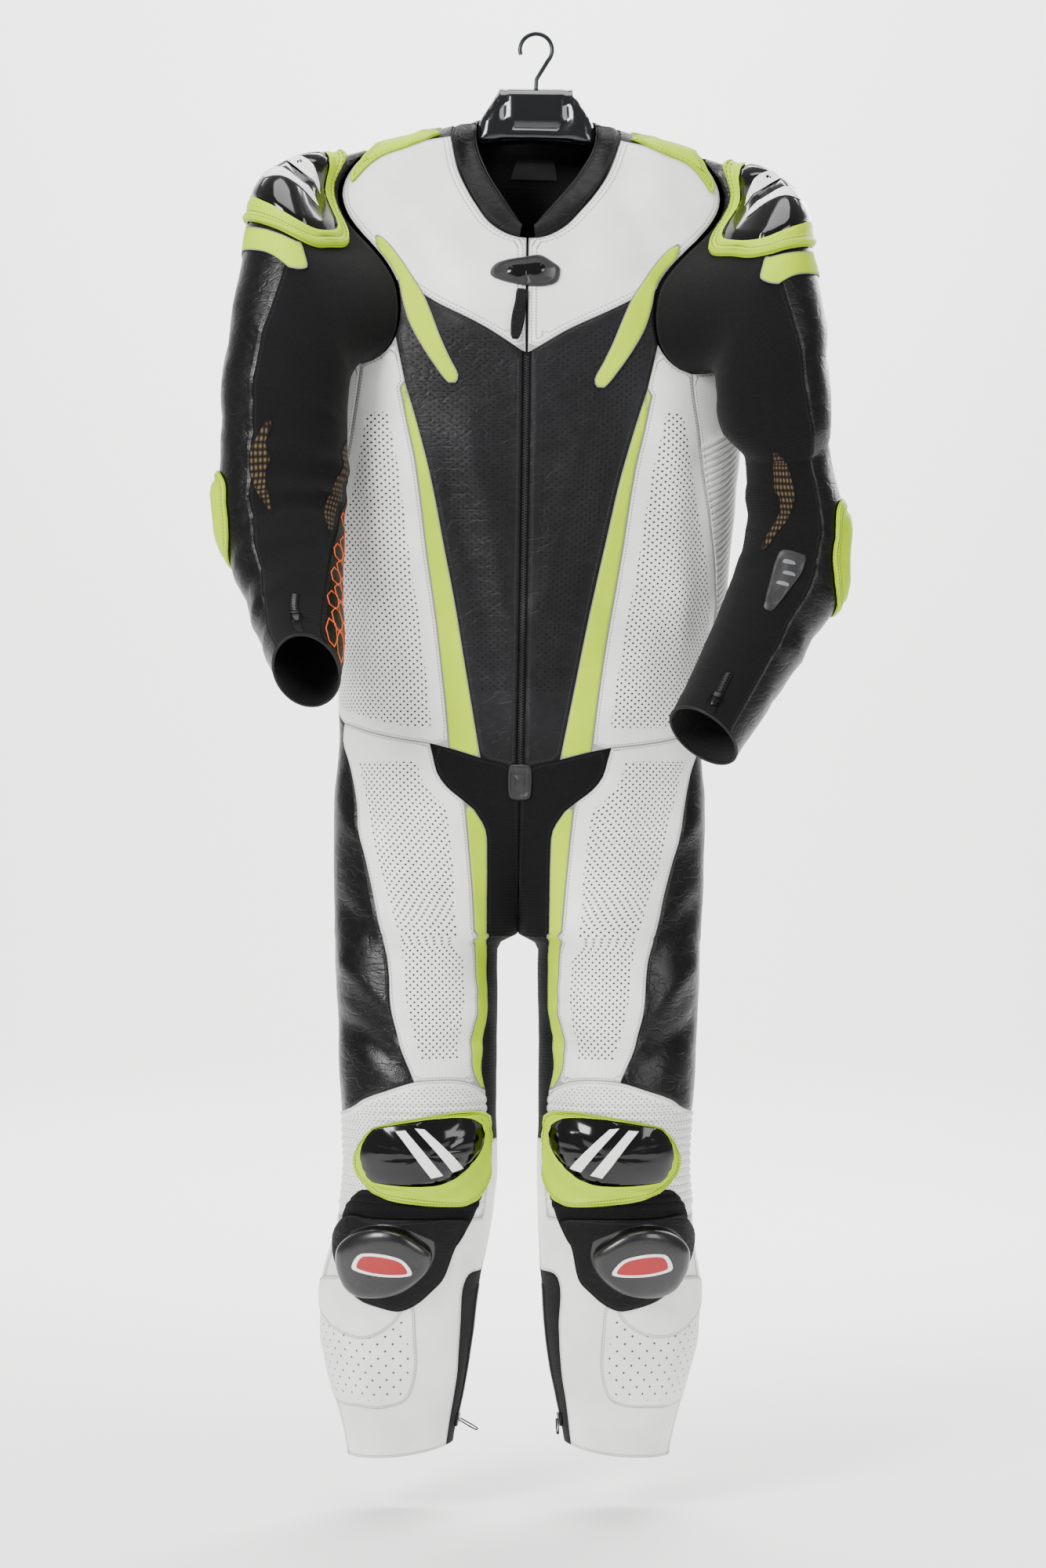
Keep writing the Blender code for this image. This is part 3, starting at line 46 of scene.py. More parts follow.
mm = 0.001

leather = 1.6           # wall of the leather panels
stretch = 1.5           # wall of the knitted stretch panels
overlay = 1.4           # wall of what is sewn on top of a panel
ringPower = 2.3         # squareness of the torso's sections
crotchDrop = 1034       # here the two legs have parted
patternWidth = 620      # pattern length of one half turn of the torso, or of one turn of a leg
sleeveWidth = 430       # pattern length of one turn of a sleeve
seamStep = 9            # longest straight run along a seam
topDrop, endDrop = 100, 1660    # reach of the pattern's lengths
slantShare = 0.7        # how much of the side's slope the pattern's length takes up
middleSlack = 0.004     # a turn this little past the middle still belongs to its own side
bothSides = ((1, "l"), (-1, "r"))   # the wearer's left and right

# Sections of the torso. Half width at the side, depth of the front and of the back.
torsoRows = (
    # drop, half width, front, back
    (108, 88, 55, 62), (111, 95, 56, 63), (117, 118, 58, 66), (125, 148, 61, 70), (132, 176, 64, 74),
    (142, 200, 67, 77), (156, 222, 70, 79), (174, 236, 74, 82), (191, 243, 80, 86), (205, 247, 85, 90),
    (267, 248, 98, 100), (387, 247, 110, 100), (472, 245, 113, 98), (530, 239, 111, 95),
    (585, 235, 106, 92), (643, 230, 101, 87), (676, 222, 98, 84), (739, 211, 93, 82), (819, 207, 92, 88),
    (881, 212, 95, 95), (935, 213, 97, 98), (988, 213, 97, 98), (1034, 209, 96, 97),
    (1640, 209, 96, 97),
)
# How far each height has turned from one torso into two legs, 0 to 1.
splitRows = ((108, 0.0), (819, 0.0), (881, 0.08), (935, 0.35), (988, 0.62), (1034, 1.0), (1640, 1.0))
# Sections of a leg. Inner and outer edge from the suit's middle, its centre's depth, its half depth.
legRows = (
    # drop, inner edge, outer edge, centre in y, half depth
    (108, 2.2, 209, -6, 92), (881, 2.2, 212, -6, 92), (1034, 2.2, 209, -10, 90),
    (1037, 10, 209, -10, 90),
    (1042, 19, 208, -11, 89), (1055, 25, 208, -12, 88), (1130, 25, 204, -22, 84),
    (1202, 25, 201, -40, 77), (1286, 24, 195, -55, 67), (1362, 28, 201, -48, 62),
    (1447, 38, 216, -35, 54), (1490, 42, 215, -26, 52), (1526, 47, 209, -18, 50),
    (1555, 53, 202, -12, 48), (1591, 60, 192, -5, 46), (1640, 67, 184, 0, 45),
)
# The suit hangs a little askew: sideways shift of the middle, and slope across the width.
leanRows = (
    # drop, shift, slope
    (0, 0, 0.0), (108, 0, 0.02), (185, -5, 0.032), (249, -10, 0.032), (382, -11, 0.032),
    (596, -14, 0.03), (819, -18, 0.026), (1041, -21, 0.012), (1286, -22, 0.0), (1486, -31, 0.0),
    (1640, -32, 0.0),
)


def blend(f):
    # shares of a smooth run's start, of its slope there and of its slope at the end
    return (1 + 2 * f) * (1 - f) ** 2, f * (1 - f) ** 2, -f * f * (1 - f)


def slopeAt(rows, index, column):
    if index in (0, len(rows) - 1):
        return 0.0
    before, here, after = rows[index - 1], rows[index], rows[index + 1]
    rise = (here[column] - before[column]) / (here[0] - before[0])
    fall = (after[column] - here[column]) / (after[0] - here[0])
    if rise * fall <= 0:
        return 0.0
    return 2 * rise * fall / (rise + fall)


def readRows(rows, drop):
    if drop <= rows[0][0]:
        return rows[0][1:]
    if drop >= rows[-1][0]:
        return rows[-1][1:]
    index = 0
    while rows[index + 1][0] < drop:
        index += 1
    low, high = rows[index], rows[index + 1]
    span = high[0] - low[0]
    keep, pull, push = blend((drop - low[0]) / span)
    return [keep * low[column] + (1 - keep) * high[column] + pull * span * slopeAt(rows, index, column)
            + push * span * slopeAt(rows, index + 1, column) for column in range(1, len(low))]


def patternLengths():
    lengths = [0.0]
    last = readRows(torsoRows, topDrop)
    for drop in range(topDrop + 1, endDrop + 1):
        here = readRows(torsoRows, drop)
        lengths.append(lengths[-1] + math.hypot(1.0, slantShare * (here[0] - last[0])))
        last = here
    return lengths


lengths = patternLengths()


def lengthAt(drop):
    whole = min(max(int(drop) - topDrop, 0), len(lengths) - 2)
    return lengths[whole] + (lengths[whole + 1] - lengths[whole]) * (drop - topDrop - whole)


def dropAt(length):
    low, high = 0, len(lengths) - 1
    while high - low > 1:
        middle = (low + high) // 2
        if lengths[middle] <= length:
            low = middle
        else:
            high = middle
    return topDrop + low + (length - lengths[low]) / (lengths[high] - lengths[low])


def torsoSection(turn, drop):
    halfWidth, front, back = readRows(torsoRows, drop)
    across, along = math.sin(math.pi * turn), math.cos(math.pi * turn)
    reach = (abs(across) ** ringPower + abs(along) ** ringPower) ** (-1 / ringPower)
    depth = front if along > 0 else back
    return halfWidth * across * reach, -depth * along * reach


def legSection(turn, drop):
    inner, outer, centreY, halfDepth = readRows(legRows, drop)
    angle = 2 * math.pi * turn
    middle, half = (inner + outer) / 2, (outer - inner) / 2
    return middle - half * math.cos(angle), centreY - halfDepth * math.sin(angle)


def halfPoint(turn, drop):
    split = readRows(splitRows, drop)[0]
    if split >= 1:
        return legSection(turn, drop)
    x, y = torsoSection(turn, drop)
    if split > 0:
        legX, legY = legSection(turn, drop)
        x, y = x + (legX - x) * split, y + (legY - y) * split
    return x, y


def lean(x, y, drop):
    shift, slope = readRows(leanRows, drop)
    return Vector((x + shift, y, -drop - x * slope))


def bodySurface(side, wraps):    # wraps is "leg" or "torso"
    def point(u, v):
        turn, drop = u / patternWidth, dropAt(v)
        sign = side
        if wraps == "leg":
            if turn < 0 and (drop >= crotchDrop or turn < -middleSlack):
                turn += 1
            turn = max(turn, 0.0) if turn <= 1 else turn - 1
        elif turn < 0:
            turn, sign = -turn, -side
        elif turn > 1:
            turn, sign = 2 - turn, -side
        x, y = halfPoint(turn, drop)
        return lean(sign * x, y, drop)
    return point


fromFront = {}          # where in front a pattern point was given


def front(x, drop):
    low, high = 0.0, 0.5
    for _ in range(30):
        middle = (low + high) / 2
        if halfPoint(middle, drop)[0] < x:
            low = middle
        else:
            high = middle
    place = (low * patternWidth, lengthAt(drop))
    fromFront[place] = (x, drop)
    return place


def at(turn, drop):
    return turn * patternWidth, lengthAt(drop)


def onBody(pairs):
    # a pair is a distance from the middle in front, or a share of a turn up to 1, and a drop
    return [at(*pair) if pair[0] <= 1 else front(*pair) for pair in pairs]


def curveRun(points, step):
    count = len(points)
    slopes = []
    for i in range(count):
        before, after = points[max(i - 1, 0)], points[min(i + 1, count - 1)]
        span = math.dist(before, points[i]) + math.dist(points[i], after)
        slopes.append([(after[k] - before[k]) / span for k in range(2)])
    runs = []
    for i in range(count - 1):
        start, end = points[i], points[i + 1]
        chord = math.dist(start, end)
        pieces = max(1, math.ceil(chord / step - 0.25))
        run = []
        for piece in range(pieces + 1):
            keep, pull, push = blend(piece / pieces)
            run.append(tuple(keep * start[k] + (1 - keep) * end[k] + pull * chord * slopes[i][k]
                             + push * chord * slopes[i + 1][k] for k in range(2)))
        runs.append(run)
    return runs


class Seam:
    def __init__(self, *pairs):
        points = onBody(pairs)
        self.ends = points
        self.runs = curveRun(points, seamStep)
        # between two places given in front, a seam is smooth as seen from the front
        for index, pair in enumerate(zip(points, points[1:])):
            if all(point in fromFront for point in pair):
                near = points[max(index - 1, 0):index + 3]
                seen = [fromFront.get(point) for point in near]
                shown = [spot for spot in seen if spot]
                first = shown.index(fromFront[pair[0]])
                self.runs[index] = [front(*spot) for spot in curveRun(shown, seamStep)[first]]

    def part(self, first=0, last=None):
        last = len(self.ends) - 1 if last is None else last
        low, high = min(first, last), max(first, last)
        points = [self.ends[low]]
        for run in self.runs[low:high]:
            points += run[1:]
        return points if first <= last else points[::-1]


def join(*runs):
    outline = []
    for run in runs:
        for point in run:
            if not outline or math.dist(point, outline[-1]) > 0.05:
                outline.append(point)
    while math.dist(outline[0], outline[-1]) < 0.05:
        outline.pop()
    return outline


def normalAt(surface, u, v, facing):
    step = 0.6
    alongU = surface(u + step, v) - surface(u - step, v)
    alongV = surface(u, v + step) - surface(u, v - step)
    return alongU.cross(alongV).normalized() * facing


def insetOutline(surface, outline, distance):
    area = sum(a[0] * b[1] - b[0] * a[1] for a, b in zip(outline, outline[1:] + outline[:1]))
    turn = 1 if area > 0 else -1
    moved = []
    count = len(outline)
    for i, (u, v) in enumerate(outline):
        scaleU = max((surface(u + 1, v) - surface(u - 1, v)).length / 2, 0.25)
        scaleV = max((surface(u, v + 1) - surface(u, v - 1)).length / 2, 0.25)
        before, after = outline[i - 1], outline[(i + 1) % count]
        come = Vector(((u - before[0]) * scaleU, (v - before[1]) * scaleV)).normalized()
        leave = Vector(((after[0] - u) * scaleU, (after[1] - v) * scaleV)).normalized()
        sideIn = Vector((-come.y, come.x)) * turn
        sideOut = Vector((-leave.y, leave.x)) * turn
        mitre = sideIn + sideOut
        mitre /= max(mitre.length_squared / 2, 0.35)
        moved.append((u + mitre.x * distance / scaleU, v + mitre.y * distance / scaleV))
    return moved


def evenCuts(low, high, step):
    return [k * step for k in range(math.ceil(low / step), math.floor(high / step) + 1)]


armhole = Seam((0.5, 134), (186, 144), (202, 163), (212, 182), (213, 202), (205, 222), (190, 242), (172, 262),
    (157, 281), (146, 301), (142, 322), (142, 342), (147, 365), (158, 381), (172, 391), (186, 395), (0.34, 386),
    (0.43, 368), (0.52, 345), (0.585, 313), (0.615, 275), (0.61, 232), (0.587, 190), (0.55, 157), (0.5, 134))
stripCorner, veeEnd, chestCorner, ribCorner, armpitCorner, backCorner, lastCorner = 1, 9, 12, 15, 15, 18, 24
shoulderStrip = Seam((186, 144), (158, 141), (129, 135), (96, 131))
neckline = Seam((96, 131), (90, 156), (83, 176), (71, 198), (59, 215), (44, 233), (25, 245), (7, 249.5), (1.2, 250))
backNeckline = Seam((96, 131), (95, 119), (94, 113.5), (0.5, 109.5), (0.65, 108.6), (0.82, 108.3), (1, 108.2))
yokeEdge = Seam((1.2, 250), (1.2, 290), (1.2, 335), (1.2, 380))
vee = Seam((1.2, 380), (5, 378.5), (46, 353), (100, 326), (126, 311), (146, 301))
chestEdge = Seam((5, 378.5), (5, 470), (5, 560), (5, 650), (5, 750), (5, 849))
chestSide = Seam((147, 365), (141, 392), (136, 415))
stripeTop = Seam((136, 415), (141, 423))
stripeInner = Seam((136, 415), (123, 457), (107, 515), (91, 590), (75, 668), (60.5, 748), (44.5, 835))
stripeOuter = Seam((141, 423), (133, 463), (123, 507), (110, 600), (96, 692), (87, 762), (80, 825))
ribSeam = Seam((186, 395), (189, 422), (194, 450), (199, 480), (207, 530), (215, 585), (219, 640), (0.44, 700),
    (0.46, 745), (0.47, 786))
ribBack = Seam((0.52, 345), (0.55, 440), (0.56, 580), (0.56, 680), (0.56, 785))
wingTop = Seam((0, 850), (5, 849), (16, 842), (44.5, 835), (80, 825), (102, 820))
wingSide = Seam((102, 820), (98, 835), (93, 853), (82, 868), (62, 884), (51, 893))
waist = Seam((102, 820), (133, 816), (169, 809), (200, 799), (0.47, 786), (0.56, 785), (0.62, 785), (0.8, 784),
    (1, 783))
thighInner = Seam((51, 893), (38, 915), (36, 943), (36, 1007), (36, 1065), (36, 1108), (39, 1152), (42, 1184),
    (37, 1209))
thighStripe = Seam((62, 884), (59, 915), (55, 964), (51, 1021), (48, 1081), (48, 1108), (52, 1157), (52, 1184),
    (42, 1206))
outerSeam = Seam((200, 799), (202, 818), (193, 848), (184, 891), (176, 934), (165, 983), (155, 1032), (145, 1072),
    (142, 1108), (134, 1146), (127, 1169), (115, 1197))
kneeTop = Seam((37, 1209), (42, 1206), (53, 1200), (67, 1196), (89, 1195), (115, 1197), (146, 1207), (169, 1216),
    (185, 1228), (0.5, 1237))
thighBack = Seam((0.5, 1237), (0.6, 1250), (0.75, 1260), (0.86, 1264))
seatSide = Seam((0.62, 785), (0.69, 880), (0.78, 975), (0.86, 1034))
seatBottom = Seam((0.86, 1034), (0.93, 1034), (1, 1034))
inseamBack = Seam((0.86, 1034), (0.86, 1100), (0.86, 1180), (0.86, 1264))
crotchFront = Seam((0, 850), (0, 900), (0, 950), (0, 1000), (0, 1034))
kneeInner = Seam((37, 1209), (0.082, 1236), (0.08, 1264), (0.08, 1305), (0.08, 1351))
kneeBottom = Seam((0.08, 1351), (0.2, 1351), (0.33, 1351), (0.455, 1351), (0.5, 1351))
kneeOuter = Seam((0.5, 1237), (0.5, 1290), (0.5, 1351))
kneeUnder = Seam((-0.14, 1264), (-0.02, 1264), (0.08, 1264))
calfFront = Seam((0.455, 1351), (0.455, 1440), (0.455, 1530), (0.455, 1624))
calfInner = Seam((-0.02, 1264), (0.0, 1340), (0.03, 1415))
zipFront = Seam((0.03, 1415), (0.104, 1421), (0.1, 1480), (0.09, 1550), (0.08, 1621))
zipBack = Seam((0.03, 1415), (-0.02, 1421), (-0.02, 1480), (-0.02, 1550), (-0.02, 1619))
hem = Seam((-0.02, 1619), (0.08, 1621), (0.25, 1630), (0.455, 1634), (0.6, 1632), (0.8, 1624), (0.98, 1619))


def shift(points, turns):
    return [(u + turns * patternWidth, v) for u, v in points]


def acrossBack(points):
    return [(2 * patternWidth - u, v) for u, v in points]


def bothHalves(*runs):
    half = join(*runs)
    return join(half, acrossBack(half)[::-1])


sleeveRows = {
    "r": (
        # x and drop of the outer edge, x and drop of the inner one, centre in y, half depth
        (-326, 257, -210, 420, -114, 71), (-336, 326, -210, 438, -122, 69),
        (-351, 418, -210, 462, -124, 66), (-353, 490, -211, 494, -124, 64),
        (-354, 552, -212, 543, -128, 64), (-339, 619, -214, 587, -146, 61),
        (-311, 685, -216, 636, -180, 57), (-288, 738, -217, 682, -218, 54),
        (-278, 757, -217, 726, -250, 52)),
    "l": (
        (312, 286, 200, 410, -116, 68), (321, 340, 200, 436, -122, 66), (328, 418, 208, 472, -118, 62),
        (330, 490, 234, 498, -96, 60), (346, 570, 237, 561, -88, 60), (342, 641, 221, 627, -98, 58),
        (303, 712, 197, 685, -118, 56), (259, 779, 172, 740, -142, 54), (217, 837, 150, 783, -166, 52)),
}
# Way in which the sleeve's cap leaves the armhole, at shares of a turn from the ridge over the front.
capRows = (
    # turn, outward, forward, down, and how much further round the sleeve's rings take the seam
    (0.0, 0.93, 0.15, 0.3, 0.0), (0.13, 0.87, 0.38, 0.28, 0.0), (0.25, 0.8, 0.6, 0.1, 0.0),
    (0.45, 0.6, 0.9, 0.0, 0.0), (0.5, 0.7, 0.9, 0.0, 0.01),
    (0.56, 0.9, 0.7, 0.0, 0.035), (0.65, 0.9, 0.45, 0.0, 0.05), (0.8, 0.9, 0.0, 0.25, 0.02),
    (1.0, 0.93, 0.15, 0.3, 0.0),
)
capLength = 150         # pattern length from the armhole to a sleeve's first ring
capPull = 1.15          # roundness of the cap
ringReach = 14          # a ring stands square to the sleeve's run over this far each way
sleeveStart = 6.0       # a sleeve begins this far from its armhole
leatherFrom, leatherTo = -0.45, 0.18   # share of a turn that the sleeve's leather takes


def armholeLoop(side):
    body = bodySurface(side, "torso")
    points = [body(u, v) for u, v in armhole.part()]
    armpit = len(armhole.part(0, armpitCorner)) - 1
    halves = []
    for half in (points[:armpit + 1], points[armpit:]):
        lengths = [0.0]
        for a, b in zip(half, half[1:]):
            lengths.append(lengths[-1] + (b - a).length)
        halves.append((half, lengths))

    def along(q):
        q = q % 1.0
        half, lengths = halves[0] if q <= 0.5 else halves[1]
        target = (q * 2 if q <= 0.5 else q * 2 - 1) * lengths[-1]
        index = 0
        while index < len(half) - 2 and lengths[index + 1] < target:
            index += 1
        f = (target - lengths[index]) / (lengths[index + 1] - lengths[index])
        return half[index].lerp(half[index + 1], min(1.0, f))

    shares = [0.5 * length / halves[0][1][-1] for length in halves[0][1]]
    shares += [0.5 + 0.5 * length / halves[1][1][-1] for length in halves[1][1][1:]]
    return along, shares


def sleeveSurface(tag):
    side = 1 if tag == "l" else -1
    rows, length = [], capLength
    for index, row in enumerate(sleeveRows[tag]):
        if index:
            last = sleeveRows[tag][index - 1]
            along = (math.dist(row[0:2], last[0:2]) + math.dist(row[2:4], last[2:4])) / 2
            length += math.hypot(along, row[4] - last[4])
        rows.append((length,) + row)
    armhole, shares = armholeLoop(side)

    def centre(t):
        row = readRows(rows, t)
        return Vector(((row[0] + row[2]) / 2, row[4], -(row[1] + row[3]) / 2))

    def ring(q, t):
        row = readRows(rows, t)
        outer, inner = Vector((row[0], row[4], -row[1])), Vector((row[2], row[4], -row[3]))
        reach = (outer - inner) / 2
        middle = min(max(t, capLength + ringReach), length - ringReach)
        toward = reach.cross(centre(middle + ringReach) - centre(middle - ringReach)).normalized()
        if toward.y > 0:
            toward = -toward
        angle = 2 * math.pi * (q + readRows(capRows, q % 1.0)[3])
        return (outer + inner) / 2 + reach * math.cos(angle) + toward * (row[5] * math.sin(angle))

    def point(u, v):
        q, t = u / sleeveWidth, v
        if t >= capLength:
            return ring(q, t)
        start, end = armhole(q), ring(q, capLength)
        chord = (end - start).length * capPull
        outward, forward, down = readRows(capRows, q % 1.0)[:3]
        leave = Vector((side * outward, -forward, -down)).normalized() * chord
        arrive = (ring(q, capLength + 12) - end).normalized() * chord
        keep, pull, push = blend(t / capLength)
        return start * keep + end * (1 - keep) + leave * pull + arrive * push
    return point, length, shares


kneeFrame = ((38, 1234), (64, 1230), (105, 1235), (140, 1242), (158, 1248), (170, 1262), (178, 1282), (178, 1295),
    (168, 1311), (153, 1323), (122, 1331), (77, 1335), (56, 1334), (43, 1324), (36, 1308), (34, 1290), (34, 1264),
    (35, 1246))
kneeDome = ((148, 1245), (91, 1238), (62, 1239), (52, 1245), (48, 1251), (47, 1263), (54, 1278), (75, 1296),
    (94, 1305), (150, 1306), (157, 1303), (165, 1283), (165, 1270), (160, 1257))
sliderPatch = ((193, 1356), (184, 1347), (160, 1349), (104, 1349), (52, 1352), (58, 1363), (68, 1384), (78, 1419),
    (91, 1435), (105, 1448), (123, 1456), (142, 1453), (164, 1445), (182, 1430), (194, 1410), (200, 1390),
    (200, 1372))
slider = ((188, 1402), (186, 1384), (176, 1369), (162, 1360), (143, 1356), (124, 1360), (109, 1369), (96, 1380),
    (93, 1388), (95, 1398), (102, 1410), (115, 1423), (134, 1433), (160, 1436), (176, 1430), (184, 1418))
shoulderFrame = (
    # shares of a turn and pattern lengths along the sleeve
    (0.115, 15), (0.145, 12), (0.18, 12), (0.215, 18), (0.245, 30), (0.258, 46), (0.248, 70), (0.23, 94),
    (0.19, 114), (0.15, 125), (0.105, 133), (0.05, 137), (0.0, 135), (-0.05, 127), (-0.1, 112),
    (-0.14, 92), (-0.155, 68), (-0.15, 46), (-0.12, 34), (-0.08, 30), (-0.02, 26), (0.05, 20))
shoulderCup = ((0.06, 38), (0.12, 31), (0.17, 27), (0.2, 31), (0.225, 44), (0.225, 62), (0.205, 86), (0.17, 102),
    (0.12, 113), (0.06, 118), (0.0, 116), (-0.06, 108), (-0.1, 90), (-0.12, 68), (-0.11, 54), (-0.07, 44), (0.0, 40))
shoulderBand = ((0.2, 113), (0.215, 120), (0.23, 130), (0.2, 147), (0.15, 157), (0.073, 165), (0.0, 164),
    (-0.08, 156), (-0.15, 138), (-0.18, 120), (-0.16, 95), (-0.1, 115), (-0.05, 131), (0.0, 139), (0.05, 141),
    (0.105, 137), (0.15, 129), (0.19, 118))
elbowCups = {
    # shares of a turn and pattern lengths along the sleeve
    "r": ((0.09, 345), (0.1, 372), (0.085, 400), (0.03, 418), (-0.05, 420), (-0.12, 405), (-0.15, 375),
          (-0.13, 345), (-0.07, 328), (0.03, 328)),
    "l": ((0.1, 365), (0.12, 395), (0.12, 430), (0.09, 462), (0.03, 480), (-0.05, 480), (-0.12, 460),
          (-0.15, 420), (-0.13, 380), (-0.06, 358), (0.04, 355)),
}
tail = ((203, 186), (194, 175), (184, 163), (170, 153), (150, 146), (128, 137), (108, 128), (0.5, 114.5),
    (0.53, 119), (0.545, 125), (0.54, 130), (0.5, 131), (183, 141), (196, 160), (205, 176))
flash = ((170, 249), (158, 256), (144, 273), (128, 297), (116, 317), (107, 338), (96, 366), (85, 390), (76, 408),
    (79, 417), (87, 417), (103, 397), (120, 371), (132, 348), (139.5, 324), (144, 302), (155, 281), (168, 264))


def onSleeve(points):
    return [(share * sleeveWidth, length) for share, length in points]


# Top edge of the collar's front half and of its back half, from the suit's middle.
collarFront = (
    # x, drop, y
    (9, 236, -92), (19, 222, -86), (33, 203, -80), (48, 181, -68), (57, 164, -56), (64, 148, -42),
    (69, 132, -24), (71, 116, -6), (71, 104, 8))
collarBack = ((71, 101, 12), (66, 93, 34), (40, 87, 54), (0, 84, 62))
collarPad = 5.0         # padded leather of its front
collarKnit = 2.2        # stretch of its back
collarLift = 0.4        # it starts this far above the neckline

zipTape = 1.2           # cloth of a zip
neckTab = ((-41, 294), (-33, 280), (3, 271), (15, 269.5), (30, 278), (37, 284), (33, 300), (14, 305.5), (-17, 303))
flyTab = ((-13, 845), (-10, 842), (10, 842), (13, 845), (13, 874), (9, 880), (-9, 880), (-13, 874))
cuffZips = {"r": (0.312, 536, 594), "l": (0.292, 604, 658)}
pulls = {
    # width, length, thickness, clearance under it, degrees it swings out at rest
    "main_pull": (15, 58, 2.5, 3.0, 4), "leg_pull_l": (8, 18, 1.8, 5.0, 6),
    "leg_pull_r": (8, 24, 1.8, 5.0, 74), "cuff_pull_l": (13, 18, 1.8, 4.4, 12),
    "cuff_pull_r": (13, 22, 1.8, 4.4, 20),
}


def signedFront(x, drop):
    u, v = front(abs(x), drop)
    return math.copysign(u, x), v


hookWire = 5.0          # width of the hook's wire
hookReach = 18.5        # radius of its bend, to the middle of the wire
# Half outline of the hanger's head and arm, from the top of the head round to the arch below it.
hangerEdge = (
    # x, drop
    (42, 62), (46, 70), (52, 80), (60, 92), (65.5, 102), (66.5, 108), (69, 119), (80, 121), (95, 122.5),
    (118, 126.5), (148, 134.5), (176, 143), (190, 149), (197, 158), (192, 169), (176, 173), (148, 168),
    (118, 160), (95, 152), (80, 143), (66, 131), (34, 126), (0, 124))
# How far the hanger reaches forward and back, at a distance from its middle.
hangerDepth = ((0, 14, 14), (58, 15, 15), (66, 13, 16), (72, 4, 18), (94, 4, 20), (112, 16, 20), (180, 18, 18))




# How the cloth folds as it hangs. Each fold runs from one place to another, across the front (x, drop),
# with its width and height in millimetres.
folds = ((-165, 190, -105, 330, 16, -3.0), (-190, 200, -135, 300, 14, 2.5), (-110, 180, -70, 300, 18, 2.0),
    (95, 195, 150, 300, 16, -3.0), (130, 190, 185, 260, 14, 2.5), (60, 230, 95, 330, 18, 1.8),
    (-75, 480, -25, 700, 16, 2.6), (-95, 520, -40, 720, 12, -2.4), (55, 480, 0, 690, 16, 2.6),
    (75, 540, 20, 730, 12, -2.4), (-45, 640, -20, 800, 9, 2.2), (20, 640, 0, 800, 9, 2.2),
    (-30, 700, 15, 760, 7, -2.0), (-40, 745, 0, 800, 7, 1.8), (-190, 500, -178, 720, 15, 2.4),
    (-205, 470, -200, 690, 10, -2.2), (150, 480, 165, 700, 15, 2.4), (185, 500, 182, 720, 10, -2.2),
    (-95, 840, -80, 1000, 14, 2.4), (-140, 850, -130, 1010, 18, -2.2), (95, 850, 105, 1010, 16, 2.2),
    (-70, 1120, -150, 1160, 10, 3.0), (-65, 1150, -140, 1185, 8, -2.6), (-68, 1095, -120, 1120, 8, 2.0),
    (25, 1120, 110, 1165, 10, 3.0), (20, 1150, 95, 1185, 8, -2.6), (28, 1095, 80, 1120, 8, 2.0),
    (-215, 900, -150, 960, 14, 3.0), (-222, 1000, -160, 1060, 12, -2.6), (-222, 1060, -150, 1130, 12, 3.0),
    (-220, 1130, -150, 1180, 10, -2.6), (180, 900, 125, 960, 14, 3.0), (185, 1000, 130, 1060, 12, -2.6),
    (185, 1060, 120, 1130, 12, 3.0), (183, 1130, 115, 1180, 10, -2.6), (-90, 1380, -95, 1560, 10, 2.2),
    (-200, 1440, -180, 1580, 12, 2.0), (50, 1380, 55, 1560, 10, 2.2), (160, 1440, 140, 1580, 12, 2.0),
    (-170, 1480, -120, 1500, 9, -1.6), (105, 1480, 150, 1500, 9, -1.6))
# Creases across a sleeve: share of a turn, length, how far it runs round, its width and its height.
sleeveFolds = {
    "r": ((0.05, 200, 0.3, 9, 2.2), (-0.1, 225, 0.28, 8, -2.0), (0.25, 250, 0.22, 8, 2.4), (0.08, 288, 0.3, 9, -2.2),
          (0.3, 315, 0.25, 8, 3.0), (0.33, 345, 0.25, 7, -3.0), (0.3, 372, 0.25, 8, 3.2), (0.3, 402, 0.22, 7, -3.0),
          (0.15, 440, 0.3, 9, 2.6), (0.0, 468, 0.3, 8, -2.4), (0.1, 500, 0.3, 9, 2.4), (-0.05, 535, 0.3, 8, -2.0),
          (0.5, 330, 0.25, 10, 3.0), (0.55, 390, 0.25, 10, -3.0), (-0.25, 450, 0.2, 10, 2.0)),
    "l": ((0.0, 200, 0.3, 9, 2.2), (0.15, 232, 0.28, 8, -2.0), (0.25, 270, 0.22, 8, 2.4), (0.05, 300, 0.3, 9, -2.2),
          (0.3, 345, 0.25, 8, 3.0), (0.33, 378, 0.25, 7, -3.0), (0.3, 410, 0.25, 8, 3.2), (0.28, 440, 0.22, 7, -3.0),
          (0.1, 478, 0.3, 9, 2.6), (0.0, 512, 0.3, 8, -2.4), (0.1, 545, 0.3, 9, 2.4), (-0.05, 590, 0.3, 8, -2.0),
          (0.5, 360, 0.25, 10, 3.0), (0.55, 420, 0.25, 10, -3.0), (-0.25, 500, 0.2, 10, 2.0)),
}


def smooth(value):
    value = min(1.0, max(0.0, value))
    return value * value * (3 - 2 * value)


# "waves" are heights and lengths of what the cloth does everywhere
foldForm = {"waves": ((1.6, 75), (0.7, 28)), "strength": 1.5, "ends": 0.25, "reach": 3, "drift": 6, "driftSize": 40}
sleeveFoldForm = {"waves": ((1.2, 60), (0.9, 22)), "twist": 30, "drift": 9, "driftSize": 30, "start": 40, "grow": 60}


def waves(point, form):
    return sum(height * noise.noise(point / long) for height, long in form["waves"])


